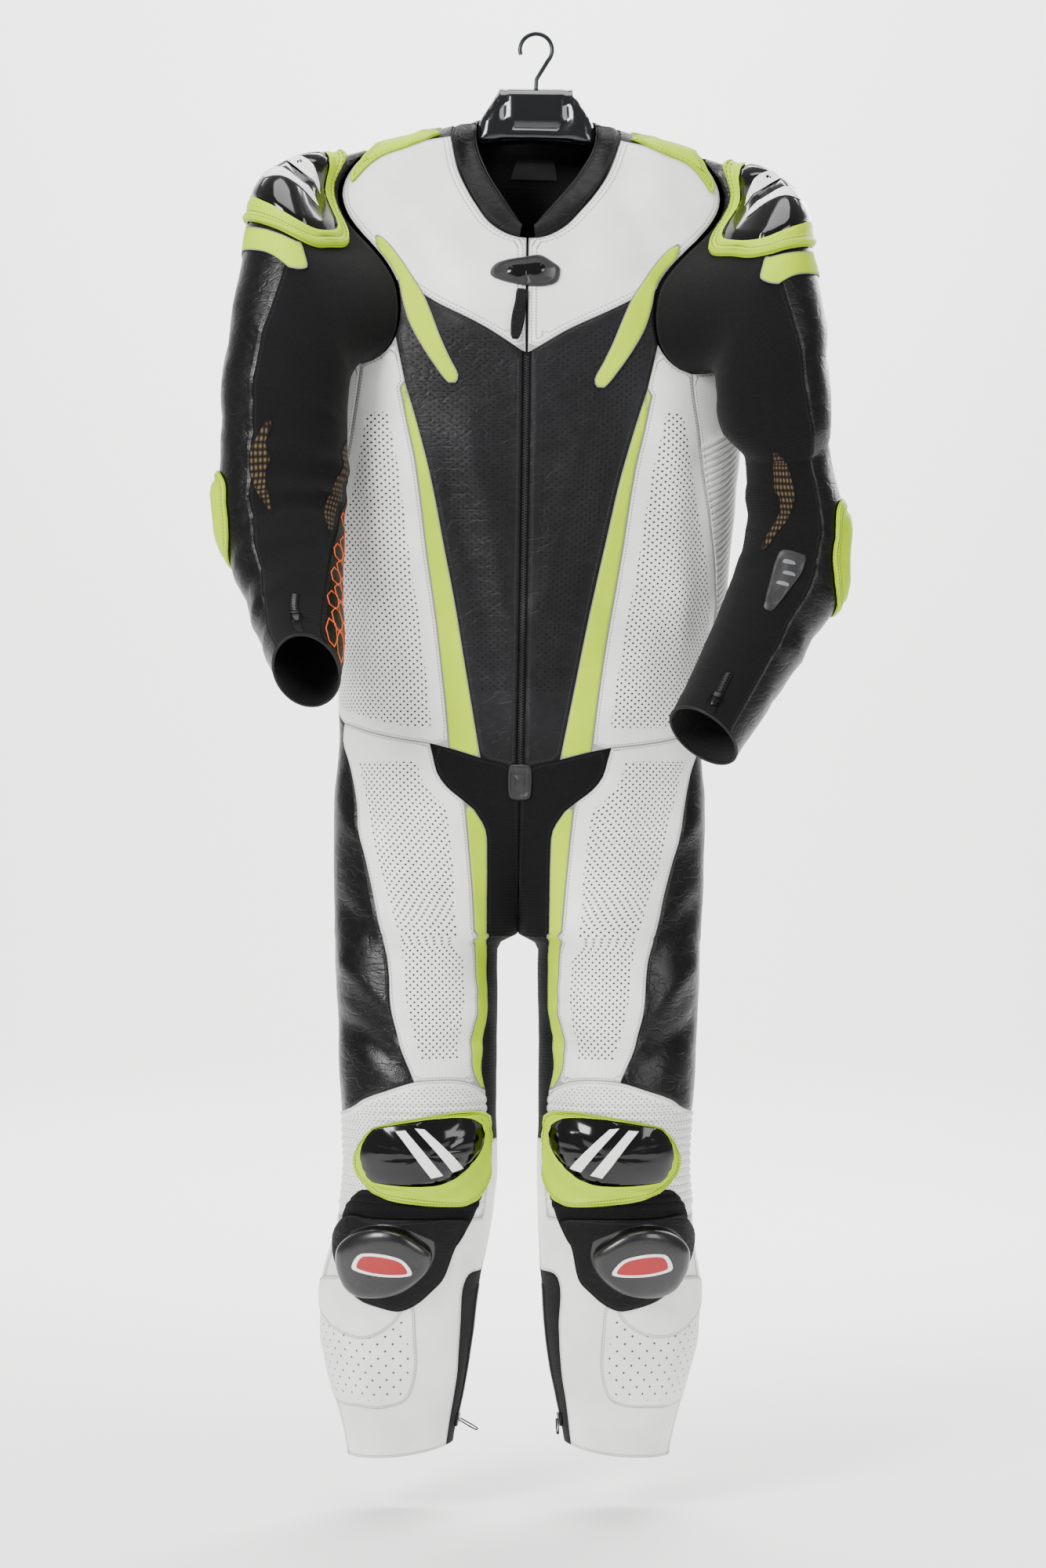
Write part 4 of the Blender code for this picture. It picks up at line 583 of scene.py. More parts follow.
def bodyFold(point, normal):
    # a soft wave everywhere, and the drawn folds in front
    height = waves(point, foldForm)
    facing = smooth((-normal.y - 0.1) / 0.5)
    if facing > 0:
        for x0, d0, x1, d1, width, depth in folds:
            rx, rd = x1 - x0, d1 - d0
            long = rx * rx + rd * rd
            px, pd = point.x - x0, -point.z - d0
            f = (px * rx + pd * rd) / long
            if -foldForm["ends"] < f < 1 + foldForm["ends"]:
                drift = foldForm["drift"] * noise.noise(point / foldForm["driftSize"])
                away = abs(px * rd - pd * rx) / math.sqrt(long) + drift
                if away < foldForm["reach"] * width:
                    ends = smooth((f + foldForm["ends"]) * 3) * smooth((1 + foldForm["ends"] - f) * 3)
                    height += foldForm["strength"] * facing * depth * ends * math.exp(-(away / width) ** 2)
    return height


def sleeveFold(tag):
    form = sleeveFoldForm

    def height(u, v, point):
        share = u / sleeveWidth
        lift = waves(point, form)
        for middle, length, reach, width, depth in sleeveFolds[tag]:
            round = (share - middle + 0.5) % 1.0 - 0.5
            if abs(round) < reach:
                away = v - length - form["twist"] * round + form["drift"] * noise.noise(point / form["driftSize"])
                if abs(away) < foldForm["reach"] * width:
                    lift += depth * smooth((1 - abs(round) / reach) * 1.6) * math.exp(-(away / width) ** 2)
        return lift * smooth((v - form["start"]) / form["grow"])
    return height


# Meshes
cutSnap = 0.8           # a cut this near a corner runs through it
cutMargin = 2           # even cuts keep this far inside the outline


def cutSheet(outline, stepU, stepV, cutsU=(), cutsV=(), slants=()):
    sheet = bmesh.new()
    sheet.faces.new([sheet.verts.new((u, v, 0)) for u, v in outline])
    lowU, highU = min(p[0] for p in outline), max(p[0] for p in outline)
    lowV, highV = min(p[1] for p in outline), max(p[1] for p in outline)
    planes = [((u, 0, 0), (1, 0, 0)) for u in (*evenCuts(lowU + cutMargin, highU - cutMargin, stepU), *cutsU)]
    planes += [((0, v, 0), (0, 1, 0)) for v in (*evenCuts(lowV + cutMargin, highV - cutMargin, stepV), *cutsV)]
    for place, direction in planes + list(slants):
        bmesh.ops.bisect_plane(sheet, geom=sheet.verts[:] + sheet.edges[:] + sheet.faces[:],
                               plane_co=place, plane_no=direction, dist=cutSnap)
    bmesh.ops.triangulate(sheet, faces=[face for face in sheet.faces if len(face.verts) > 4])
    return sheet


def measureEdges(sheet, outline, across):
    # how far each point is from the outline, and how far along the outline its nearest place is
    points = np.array([(vert.co.x * across, vert.co.y) for vert in sheet.verts])
    starts = np.array([(u * across, v) for u, v in outline])
    spans = np.roll(starts, -1, axis=0) - starts
    long = np.maximum(np.hypot(spans[:, 0], spans[:, 1]), 1e-6)
    before = np.concatenate(([0.0], np.cumsum(long)[:-1]))
    edgeLayer, runLayer = seamLayers(sheet)
    for vert, point in zip(sheet.verts, points):
        reach = point - starts
        share = np.clip((reach * spans).sum(axis=1) / long ** 2, 0, 1)
        away = reach - spans * share[:, None]
        distance = np.hypot(away[:, 0], away[:, 1])
        near = int(distance.argmin())
        vert[edgeLayer] = float(distance[near])
        vert[runLayer] = float(before[near] + share[near] * long[near])


def newVerts(made):
    return [item for item in made["geom"] if isinstance(item, bmesh.types.BMVert)]


def seamLayers(builder):
    return builder.verts.layers.float.new("edge"), builder.verts.layers.float.new("run")


def cover(*pieces):
    builder = bmesh.new()
    for piece in pieces:
        builder.from_mesh(piece.data)
    tree = BVHTree.FromBMesh(builder)
    builder.free()
    return tree


def coverOf(*nodes):
    return cover(*(bpy.data.objects[node + "_cloth"] for node in nodes))


rayStart = 30           # a ray starts this far above a place and runs as far below it


def standOff(tree, point, normal):
    hit = tree.ray_cast((point + normal * rayStart) * mm, -normal, 2 * rayStart * mm)[0]
    if hit is None:
        return leather
    return (hit / mm - point).dot(normal)


def finish(name, builder, finishes, body="suit", nodes=(), sharp=40):
    bmesh.ops.recalc_face_normals(builder, faces=builder.faces[:])
    if builder.calc_volume(signed=True) < 0:
        bmesh.ops.reverse_faces(builder, faces=builder.faces[:])
    mesh = bpy.data.meshes.new(name)
    builder.to_mesh(mesh)
    builder.free()
    piece = bpy.data.objects.new(name, mesh)
    bpy.context.scene.collection.objects.link(piece)
    for item in finishes:
        mesh.materials.append(item)
    mesh.shade_smooth()
    mesh.set_sharp_from_angle(angle=math.radians(sharp))
    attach(piece, body)
    for node in nodes:
        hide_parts(node)
    return piece


cutSpare = 1.02         # a rectangle is at least this much larger than what is cut from it
leastFill = 0.31        # least share of its rectangle that a panel is said to fill


def declareCloth(piece, sheet, area):
    # the smallest rectangle that the panel's flat cut comes out of
    points = np.array(sheet) * mm
    best = None
    for step in range(0, 90, 3):
        turn = math.radians(step)
        a = points @ np.array((math.cos(turn), math.sin(turn)))
        b = points @ np.array((-math.sin(turn), math.cos(turn)))
        sides = (float(np.ptp(a)), float(np.ptp(b)))
        if best is None or sides[0] * sides[1] < best[0] * best[1]:
            best = sides
    grow = math.sqrt(max(1.0, area / (best[0] * best[1]) * cutSpare))
    width, length = best[0] * grow, best[1] * grow
    fill = area / (width * length)
    if fill < leastFill:
        width *= fill / leastFill
    cuts[piece.name] = (round(width, 3), round(length, 3), round(area, 4))


def makePanel(node, outline, surface, facing, finishes, wall=leather, lift=0.0, step=9.0, inset=0.15, rise=None,
              over=None, fold=bodyFold, across=0.86, cutsU=(), cutsV=(), slants=(), held="hung", cloth=True,
              onSleeveFold=None, replaces=True):
    outline = insetOutline(surface, outline, inset) if inset else list(outline)
    sheet = cutSheet(outline, step / across, step, cutsU, cutsV, slants)
    measureEdges(sheet, outline, across)
    uv = sheet.loops.layers.uv.new("pattern")
    for face in sheet.faces:
        for loop in face.loops:
            loop[uv].uv = (loop.vert.co.x * across * mm, loop.vert.co.y * mm)
    extruded = bmesh.ops.extrude_face_region(sheet, geom=sheet.faces[:])
    for vert in newVerts(extruded):
        vert.co.z = 1
    for face in sheet.faces:
        if all(vert.co.z < 0.5 for vert in face.verts):
            face.material_index = len(finishes) - 1
    places = {}
    for vert in sheet.verts:
        u, v, layer = vert.co
        key = (round(u, 3), round(v, 3))
        if key not in places:
            point, normal = surface(u, v), normalAt(surface, u, v, facing)
            base = lift + (standOff(over, point, normal) if over else 0.0)
            if onSleeveFold:
                base += onSleeveFold(u, v, point)
            elif fold:
                base += fold(point, normal)
            places[key] = (point, normal, base)
        point, normal, base = places[key]
        height = base + layer * (wall + (rise(u, v) if rise else 0.0))
        vert.co = (point + normal * height) * mm
    area = sum(face.calc_area() for face in sheet.faces) / 2
    piece = finish(node + "_cloth", sheet, finishes, nodes=(node,) if replaces else ())
    if cloth:
        declareCloth(piece, [(u * across, v) for u, v in outline], area)
    return piece


def makeOverlay(node, outline, surface, facing, key, over, **options):
    # cloth laid on what is under it, the same finish on both faces
    return makePanel(node, outline, surface, facing, (finishes[key],) * 2, inset=0, over=over, fold=None, **options)


# Finishes
def linear(part):
    share = part / 255
    return share / 12.92 if share <= 0.04045 else ((share + 0.055) / 1.055) ** 2.4


def shade(code):
    # a display colour as the renderer takes it
    return tuple(linear(int(code[i:i + 2], 16)) for i in (0, 2, 4)) + (1.0,)


def addNode(tree, kind, inputs=(), output=0, **settings):
    # inputs by name, or in the node's own order: a MapRange takes value, from low, from high, to low, to high
    node = tree.nodes.new("ShaderNode" + kind)
    for key, value in settings.items():
        setattr(node, key, value)
    for key, value in inputs.items() if isinstance(inputs, dict) else enumerate(inputs):
        if isinstance(value, bpy.types.NodeSocket):
            tree.links.new(value, node.inputs[key])
        else:
            node.inputs[key].default_value = value
    return node.outputs[output]


def newFinish(name, roughness, **sockets):
    made = bpy.data.materials.new(name)
    made.use_nodes = True
    shader = made.node_tree.nodes["Principled BSDF"]
    shader.inputs["Roughness"].default_value = roughness
    for key, value in sockets.items():
        shader.inputs[key.replace("_", " ")].default_value = value
    return made, made.node_tree, shader


def linkShader(tree, shader, height, strength, **sockets):
    # the finish's relief, and what else the shader takes
    sockets["Normal"] = addNode(tree, "Bump", {"Height": height, "Distance": mm, "Strength": strength})
    for key, value in sockets.items():
        tree.links.new(value, shader.inputs[key.replace("_", " ")])


def sewnMarks(tree, look, height, colour):
    # the dip of the seam, painted shade that darkens the colour towards the panel's edge (a grey piping line on the
    # lime hide), its rows of thread and the holes punched in the panel
    edge = addNode(tree, "Attribute", output="Fac", attribute_name="edge")
    run = addNode(tree, "Attribute", output="Fac", attribute_name="run")
    dip = addNode(tree, "MapRange", (edge, 0.0, look.get("dip", 3.0), -1.0, 0.0), interpolation_type="SMOOTHSTEP")
    height = addNode(tree, "Math", (height, dip), operation="ADD")
    # painted shade: near the edge the colour goes over to the look's seam colour, which stands in for the seam
    # valley's shade (a grey piping on the lime hide)
    shadow = addNode(tree, "MapRange", (edge, 0.3, 1.6))
    colour = addNode(tree, "Mix", {"Factor": shadow, "A": shade(look["seam"]), "B": colour}, "Result",
                     data_type="RGBA")
    if "holes" in look:
        pitch, size, inset, top, bottom = look["holes"]
        place = addNode(tree, "UVMap", uv_map="pattern")
        turned = addNode(tree, "Mapping", {"Vector": place, "Rotation": (0, 0, math.radians(45)),
                                           "Scale": (1000 / pitch,) * 3})
        dots = addNode(tree, "TexVoronoi", {"Vector": turned, "Scale": 1.0, "Randomness": 0.0}, "Distance",
                       voronoi_dimensions="2D")
        hole = addNode(tree, "MapRange", (dots, size / pitch * 0.36, size / pitch * 0.64, 1.0, 0.0))
        inside = addNode(tree, "Math", (edge, inset), operation="GREATER_THAN")
        z = addNode(tree, "SeparateXYZ", (addNode(tree, "TexCoord", output="Object"),), "Z")
        under = addNode(tree, "Math", (z, -top * mm), operation="LESS_THAN")
        over = addNode(tree, "Math", (z, -bottom * mm), operation="GREATER_THAN")
        band = addNode(tree, "Math", (under, over), operation="MULTIPLY")
        area = addNode(tree, "Math", (inside, band), operation="MULTIPLY")
        hole = addNode(tree, "Math", (hole, area), operation="MULTIPLY")
        colour = addNode(tree, "Mix", {"Factor": hole, "A": colour, "B": shade(look["hole"])}, "Result",
                         data_type="RGBA")
        sunk = addNode(tree, "Math", (hole, -0.6), operation="MULTIPLY")
        height = addNode(tree, "Math", (height, sunk), operation="ADD")
    wide = look.get("threadWidth", 0.45)
    for row in look.get("threads", ()):
        away = addNode(tree, "Math", (edge, row), operation="SUBTRACT")
        away = addNode(tree, "Math", (away,), operation="ABSOLUTE")
        line = addNode(tree, "MapRange", (away, wide, wide + 0.35, 1.0, 0.0))
        groove = addNode(tree, "MapRange", (away, 0.0, 1.5, -0.35, 0.0))
        pitch = addNode(tree, "Math", (run, look.get("stitch", 3.6)), operation="DIVIDE")
        share = addNode(tree, "Math", (pitch,), operation="FRACT")
        dash = addNode(tree, "Math", (share, 0.72), operation="LESS_THAN")
        thread = addNode(tree, "Math", (line, dash), operation="MULTIPLY")
        height = addNode(tree, "Math", (height, groove), operation="ADD")
        raised = addNode(tree, "Math", (thread, 0.3), operation="MULTIPLY")
        height = addNode(tree, "Math", (height, raised), operation="ADD")
        colour = addNode(tree, "Mix", {"Factor": thread, "A": colour, "B": shade(look["thread"])}, "Result",
                         data_type="RGBA")
    return height, colour


def hideFinish(name, look):
    # full-grain cowhide: pebbled grain, soft creases and a slightly uneven sheen
    roughness, pebble = look["roughness"], look["grainHeight"]
    made, tree, shader = newFinish(name, roughness, Specular_IOR_Level=look.get("specular", 0.5))
    place = addNode(tree, "TexCoord", output="Object")
    cells = addNode(tree, "TexVoronoi", {"Vector": place, "Scale": 1000 / look["grain"]}, "Distance", feature="F1")
    fine = addNode(tree, "TexNoise", {"Vector": place, "Scale": 1000 / 9, "Detail": 5.0, "Roughness": 0.65})
    broad = addNode(tree, "TexNoise", {"Vector": place, "Scale": 1000 / 90, "Detail": 3.0})
    long = addNode(tree, "Mapping", {"Vector": place, "Scale": (1.0, 1.0, 2.2)})
    crease = addNode(tree, "TexNoise", {"Vector": long, "Scale": 1000 / look.get("creaseSize", 34), "Detail": 4.0,
                                        "Distortion": 0.6})
    crease = addNode(tree, "Math", (crease, 0.5), operation="SUBTRACT")
    crease = addNode(tree, "Math", (crease,), operation="ABSOLUTE")
    crease = addNode(tree, "MapRange", (crease, 0.0, 0.07, -1.0, 0.0), interpolation_type="SMOOTHSTEP")
    grain = addNode(tree, "Math", (cells, pebble), operation="MULTIPLY")
    wrinkle = addNode(tree, "Math", (fine, pebble * 1.6, grain), operation="MULTIPLY_ADD")
    height = addNode(tree, "Math", (crease, look["creaseHeight"], wrinkle), operation="MULTIPLY_ADD")
    tone = addNode(tree, "MapRange", (broad, 0.35, 0.65))
    colour = addNode(tree, "Mix", {"Factor": tone, "A": shade(look["low"]), "B": shade(look["high"])}, "Result",
                     data_type="RGBA")
    height, colour = sewnMarks(tree, look, height, colour)
    rough = addNode(tree, "MapRange", (fine, 0.3, 0.7, roughness - 0.06, roughness + 0.08))
    linkShader(tree, shader, height, 0.9, Base_Color=colour, Roughness=rough)
    return made


def knitFinish(name, look):
    # elastic woven cloth: matte, with fine ribs a thread apart
    made, tree, shader = newFinish(name, 0.88, Sheen_Weight=0.04, Sheen_Roughness=0.5, Specular_IOR_Level=0.15)
    place = addNode(tree, "UVMap", uv_map="pattern")
    rowScale = 1000 / look["pitch"] / 6.28
    ribs = addNode(tree, "TexWave", {"Vector": place, "Scale": rowScale * 2, "Distortion": 0.4}, bands_direction="X")
    rows = addNode(tree, "TexWave", {"Vector": place, "Scale": rowScale, "Distortion": 0.4}, bands_direction="Y")
    weave = addNode(tree, "Math", (ribs, rows), operation="MULTIPLY")
    fuzz = addNode(tree, "TexNoise", {"Vector": place, "Scale": 900.0, "Detail": 2.0})
    colour = addNode(tree, "Mix", {"Factor": weave if look.get("coarse") else fuzz, "A": shade(look["low"]),
                                   "B": shade(look["high"])}, "Result", data_type="RGBA")
    height = addNode(tree, "Math", (weave, 0.35), operation="MULTIPLY")
    height, colour = sewnMarks(tree, look, height, colour)
    linkShader(tree, shader, height, 0.8, Base_Color=colour)
    return made


def mouldedFinish(name, look):
    # injection-moulded plastic or rubber: even colour, a light tool texture and small handling marks
    roughness = look["roughness"]
    made, tree, shader = newFinish(name, roughness, Coat_Weight=look.get("coat", 0.0), Coat_Roughness=0.05,
                                   Specular_IOR_Level=look.get("specular", 0.5))
    place = addNode(tree, "TexCoord", output="Object")
    tool = addNode(tree, "TexNoise", {"Vector": place, "Scale": 1000 / look.get("texture", 1.6), "Detail": 3.0})
    marks = addNode(tree, "TexNoise", {"Vector": place, "Scale": 1000 / 40, "Detail": 6.0, "Roughness": 0.7})
    colour = addNode(tree, "Mix", {"Factor": marks, "A": shade(look["low"]), "B": shade(look["high"])}, "Result",
                     data_type="RGBA")
    height = addNode(tree, "Math", (tool, look.get("depth", 0.06)), operation="MULTIPLY")
    if "threads" in look:
        height, colour = sewnMarks(tree, look, height, colour)
    rough = addNode(tree, "MapRange", (marks, 0.3, 0.7, roughness * 0.8, roughness * 1.25))
    linkShader(tree, shader, height, 0.6, Base_Color=colour, Roughness=rough)
    return made


# Cowhide 1.2 mm thick, pigmented. Its grain is about 0.8 mm and is drawn at 1.6 mm, so that it shows.
# In each look "seam" is the colour of painted shade along a panel's edge, darker than the leather; on the lime hide
# the grey "seam" is a piping line.
whiteHide = {"low": "D9D9D7", "high": "EAEAE8", "seam": "8A8A88", "roughness": 0.42, "grain": 1.6,
             "grainHeight": 0.07, "creaseHeight": 0.12, "thread": "9A9A98", "threads": (2.6,)}
blackHide = {"low": "040405", "high": "0A0A0B", "seam": "020202", "roughness": 0.32, "grain": 1.6, "specular": 0.25,
             "grainHeight": 0.12, "creaseHeight": 0.25, "thread": "1C1C1E", "threads": (2.6,)}
limeHide = {"low": "A0C000", "high": "ACCC00", "seam": "6E7068", "roughness": 0.6, "grain": 1.6, "specular": 0.12,
            "grainHeight": 0.07, "creaseHeight": 0.1, "thread": "8FA60C", "threads": ()}
finishes = {
    "white": hideFinish("cowhideWhite", dict(whiteHide, threads=(2.6, 6.2))),
    "whiteHoles": hideFinish("cowhideWhitePerforated", dict(
        whiteHide, holes=(5.4, 2.3, 15.0, 445, 800), hole="161614")),
    "thighHoles": hideFinish("cowhideWhiteThigh", dict(
        whiteHide, holes=(5.4, 2.3, 17.0, 838, 1172), hole="161614")),
    "shinHide": hideFinish("cowhideWhiteShin", whiteHide),
    # the ribbed and knee hides get a lighter painted seam shade along their edges
    "ribHide": hideFinish("cowhideWhiteRibbed", dict(
        whiteHide, seam="B5B5B2", creaseHeight=0.05)),
    "kneeHide": hideFinish("cowhideWhiteKnee", dict(
        whiteHide, seam="A5A5A2", creaseHeight=0.05, holes=(4.4, 1.7, 7.0, 1190, 1350), hole="6A6A67")),
    "blackHoles": hideFinish("cowhideBlackPerforated", dict(
        blackHide, roughness=0.45, specular=0.18, holes=(5.0, 1.7, 9.0, 350, 760), hole="000000", creaseHeight=0.3,
        low="0B0B0C", high="141416")),
    "black": hideFinish("cowhideBlack", dict(blackHide, creaseSize=30, creaseHeight=0.22)),
    "collarHide": hideFinish("cowhideBlackSoft", dict(blackHide, roughness=0.5, specular=0.14, threads=(5.0,))),
    "lime": hideFinish("cowhideLime", limeHide),
    # the stretch cloths' darker "seam" colour is painted shade along their edges
    "knit": knitFinish("stretchWeave", {"pitch": 1.8, "low": "030304", "high": "08080A", "seam": "020202",
                                        "thread": "141416", "threads": (3.0,)}),
    "lining": knitFinish("liningMesh", {"pitch": 3.0, "low": "101012", "high": "1C1C1E", "seam": "060606"}),
    "zipCloth": knitFinish("zipTapeWoven", {"pitch": 1.2, "low": "0B0B0C", "high": "161618", "seam": "050505"}),
    # the lime plastic's darker "seam" colour is painted shade along a plate's outer edge
    "limePlastic": mouldedFinish("polyurethaneLime", {
        "low": "A0C000", "high": "AACA00", "roughness": 0.5, "coat": 0.05, "seam": "8CA80A", "specular": 0.12,
        "thread": "6E7A20", "threads": (4.0, 7.4), "dip": 0.6, "stitch": 4.2, "threadWidth": 0.5}),
    "cupPlastic": mouldedFinish("polyurethaneGlossBlack", {
        "low": "020203", "high": "050506", "roughness": 0.12, "coat": 0.25, "specular": 0.3, "depth": 0.01}),
    "inlay": mouldedFinish("printedPlasticWhite", {"low": "DADAD8", "high": "EEEEEC", "roughness": 0.3}),
    "redInlay": mouldedFinish("printedPlasticRed", {"low": "8A0810", "high": "A00E16", "roughness": 0.35}),
    "greyPlastic": mouldedFinish("polyurethaneGrey", {"low": "55585C", "high": "6A6E73", "roughness": 0.45}),
    "slider": mouldedFinish("sliderPolyurethane", {
        "low": "050506", "high": "0C0C0E", "roughness": 0.3, "coat": 0.2, "depth": 0.04}),
    "rubber": mouldedFinish("rubberMatte", {"low": "080809", "high": "101012", "roughness": 0.5}),
    "teeth": mouldedFinish("nylonCoil", {"low": "0A0A0B", "high": "1A1A1C", "roughness": 0.35}),
    "hanger": mouldedFinish("absGlossBlack", {
        "low": "040608", "high": "080B0E", "roughness": 0.16, "coat": 0.4, "depth": 0.015, "texture": 4.0}),
    "shinHoles": hideFinish("cowhideWhiteSparse", dict(
        whiteHide, holes=(12.0, 2.6, 9.0, 1440, 1570), hole="2A2A28")),
    "mesh": knitFinish("reflectiveMesh", {"pitch": 4.4, "low": "0B0A09", "high": "5E4C34", "seam": "060606",
                                          "coarse": True}),
    "orange": mouldedFinish("rubberOrange", {"low": "E0560A", "high": "F06A14", "roughness": 0.5}),
    "binding": mouldedFinish("bindingTape", {"low": "050506", "high": "0B0B0C", "roughness": 0.6, "texture": 1.0,
                                             "specular": 0.3, "depth": 0.12}),
    "satin": mouldedFinish("satinLabel", {"low": "101012", "high": "1C1C1F", "roughness": 0.35, "texture": 0.8}),
    "wire": mouldedFinish("steelWire", {"low": "26282A", "high": "34373A", "roughness": 0.28, "depth": 0.01}),
    "metal": mouldedFinish("zincDark", {"low": "0C0C0D", "high": "161617", "roughness": 0.3}),
}
# The steel wire and the dark zinc are partly metallic.
for key, share in (("wire", 0.9), ("metal", 0.6)):
    finishes[key].node_tree.nodes["Principled BSDF"].inputs["Metallic"].default_value = share
cuts = {}               # what each sheet is cut from
print("finishes made")


# Body panels, as they are cut and sewn
ribs = {"height": 2.0, "side": 29, "sideFrom": 412, "sidePitch": 8.2, "sideSlope": 0.46, "knee": 14,
        "kneeFrom": 1215, "kneePitch": 9.0, "back": 9, "backFrom": 688, "backPitch": 9.0, "backReach": 0.34}


def ribWave(distance, pitch, count):
    if not 0 <= distance <= count * pitch:
        return 0.0
    return ribs["height"] * math.sin(math.pi * (distance / pitch % 1.0)) ** 0.7


def ribCuts(start, pitch, count):
    # four cuts to a rib, so that it comes out round
    return [start + k * pitch / 4 for k in range(4 * count + 1)]


def sideRibs():
    start = lengthAt(ribs["sideFrom"]) + ribs["sideSlope"] * 0.5 * patternWidth

    def rise(u, v):
        return ribWave(v + ribs["sideSlope"] * u - start, ribs["sidePitch"], ribs["side"])
    lines = ribCuts(start, ribs["sidePitch"], ribs["side"])
    return {"rise": rise, "slants": [((0, line, 0), (ribs["sideSlope"], 1, 0)) for line in lines], "step": 12}


def kneeRibs():
    start = lengthAt(ribs["kneeFrom"])

    def rise(u, v):
        return ribWave(v - start, ribs["kneePitch"], ribs["knee"])
    return {"rise": rise, "cutsV": ribCuts(start, ribs["kneePitch"], ribs["knee"]), "step": 10}


def backRibs():
    # a stretch panel across the small of the back
    start, pitch = lengthAt(ribs["backFrom"]), ribs["backPitch"]

    def rise(u, v):
        away = abs(u - patternWidth) / patternWidth
        return ribWave(v - start, pitch, ribs["back"]) * smooth((ribs["backReach"] - away) / 0.02)
    return {"rise": rise, "cutsV": ribCuts(start, pitch, ribs["back"]), "step": 11}


def sew(node, surface, facing, key, *runs, **options):
    return makePanel(node, join(*runs), surface, facing, (finishes[key], finishes["lining"]), **options)


for side, tag in bothSides:
    body, leg, facing = bodySurface(side, "torso"), bodySurface(side, "leg"), -side
    sew("yoke_" + tag, body, facing, "white", yokeEdge.part(), vee.part(), armhole.part(veeEnd, stripCorner),
        shoulderStrip.part(), neckline.part())
    sew("chest_" + tag, body, facing, "blackHoles", vee.part(1), armhole.part(veeEnd, chestCorner), chestSide.part(),
        stripeInner.part(), wingTop.part(3, 1), chestEdge.part(5, 0))
    sew("stripe_" + tag, body, facing, "lime", stripeInner.part(), wingTop.part(3, 4), stripeOuter.part(6, 0),
        stripeTop.part(1, 0), step=4)
    sew("flank_" + tag, body, facing, "whiteHoles", armhole.part(chestCorner, ribCorner), ribSeam.part(),
        waist.part(4, 0), wingTop.part(5, 4), stripeOuter.part(6, 0), stripeTop.part(1, 0), chestSide.part(2, 0))
    sew("side_ribs_" + tag, body, facing, "ribHide", armhole.part(ribCorner, backCorner), ribBack.part(),
        waist.part(5, 4), ribSeam.part(9, 0), **sideRibs())
    sew("thigh_" + tag, leg, facing, "thighHoles", waist.part(0, 3), outerSeam.part(), kneeTop.part(5, 1),
        thighStripe.part(8, 0), wingSide.part(4, 0))
    sew("thigh_stripe_" + tag, leg, facing, "lime", wingSide.part(4, 5), thighInner.part(), kneeTop.part(0, 1),
        thighStripe.part(8, 0), step=4)
    sew("inner_leg_" + tag, leg, facing, "knit", wingTop.part(5, 0), crotchFront.part(),
        shift(seatBottom.part(2, 0), -1), shift(inseamBack.part(), -1), kneeUnder.part(), kneeInner.part(2, 0),
        thighInner.part(8, 0), wingSide.part(5, 0), wall=stretch)
    sew("outer_leg_" + tag, leg, facing, "black", waist.part(3, 6), seatSide.part(), inseamBack.part(),
        thighBack.part(3, 0), kneeTop.part(9, 5), outerSeam.part(11, 0))
    sew("knee_ribs_" + tag, leg, facing, "kneeHide", kneeTop.part(), kneeOuter.part(), kneeBottom.part(4, 0),
        kneeInner.part(4, 0), **kneeRibs())
    sew("shin_" + tag, leg, facing, "shinHide", kneeUnder.part(1, 2), kneeInner.part(2, 4), kneeBottom.part(0, 3),
        calfFront.part(), hem.part(3, 1), zipFront.part(4, 0), calfInner.part(2, 0))
    sew("calf_" + tag, leg, facing, "shinHide", thighBack.part(), shift(kneeUnder.part(0, 1), 1),
        shift(calfInner.part(), 1), shift(zipBack.part(), 1), hem.part(6, 3), calfFront.part(3, 0),
        kneeBottom.part(3, 4), kneeOuter.part(2, 0))
body = bodySurface(1, "torso")
sew("back", body, -1, "black", bothHalves(
    backNeckline.part(6, 0), shoulderStrip.part(3, 0), armhole.part(stripCorner, 0),
    armhole.part(lastCorner, backCorner), ribBack.part(), waist.part(5, 8)), **backRibs())
sew("seat", body, -1, "knit", bothHalves(waist.part(8, 6), seatSide.part(), seatBottom.part()), wall=stretch, step=11)
print("body panels sewn")

# Sleeves: leather outside, stretch cloth inside
sleeveForm = {"runCuts": 60, "cuffCuts": 40, "clear": 0.004, "across": 0.95}
for side, tag in bothSides:
    s = sleeveForm
    surface, length, shares = sleeveSurface(tag)
    turns = sorted(set(round(share + whole, 5) for share in shares for whole in (-1, 0)))
    ends = (leatherFrom, leatherTo, 1 + leatherFrom)
    edges = [[(q * sleeveWidth, sleeveStart + k * (length - sleeveStart) / s["runCuts"])
              for k in range(s["runCuts"] + 1)] for q in ends]
    for index, (node, key, wall) in enumerate((
            ("sleeve_leather_", "black", leather), ("sleeve_stretch_", "knit", stretch))):
        low, high = ends[index], ends[index + 1]
        inside = [q for q in turns if low + s["clear"] < q < high - s["clear"]]
        top = [(q * sleeveWidth, sleeveStart) for q in [low] + inside + [high]]
        cuff = [((low + (high - low) * k / s["cuffCuts"]) * sleeveWidth, length) for k in range(s["cuffCuts"] + 1)]
        sew(node + tag, surface, side, key, top, edges[index + 1], cuff[::-1], edges[index][::-1], lift=-wall,
            wall=wall, across=s["across"], onSleeveFold=sleeveFold(tag))
print("sleeves sewn")


# Moulded armour, laid on the finished panels
def roundOutline(points, step=5.0):
    count = len(points)
    runs = curveRun([*points[-2:], *points, *points[:3]], step)
    outline = []
    for run in runs[2:2 + count]:
        outline += run[:-1]
    return outline


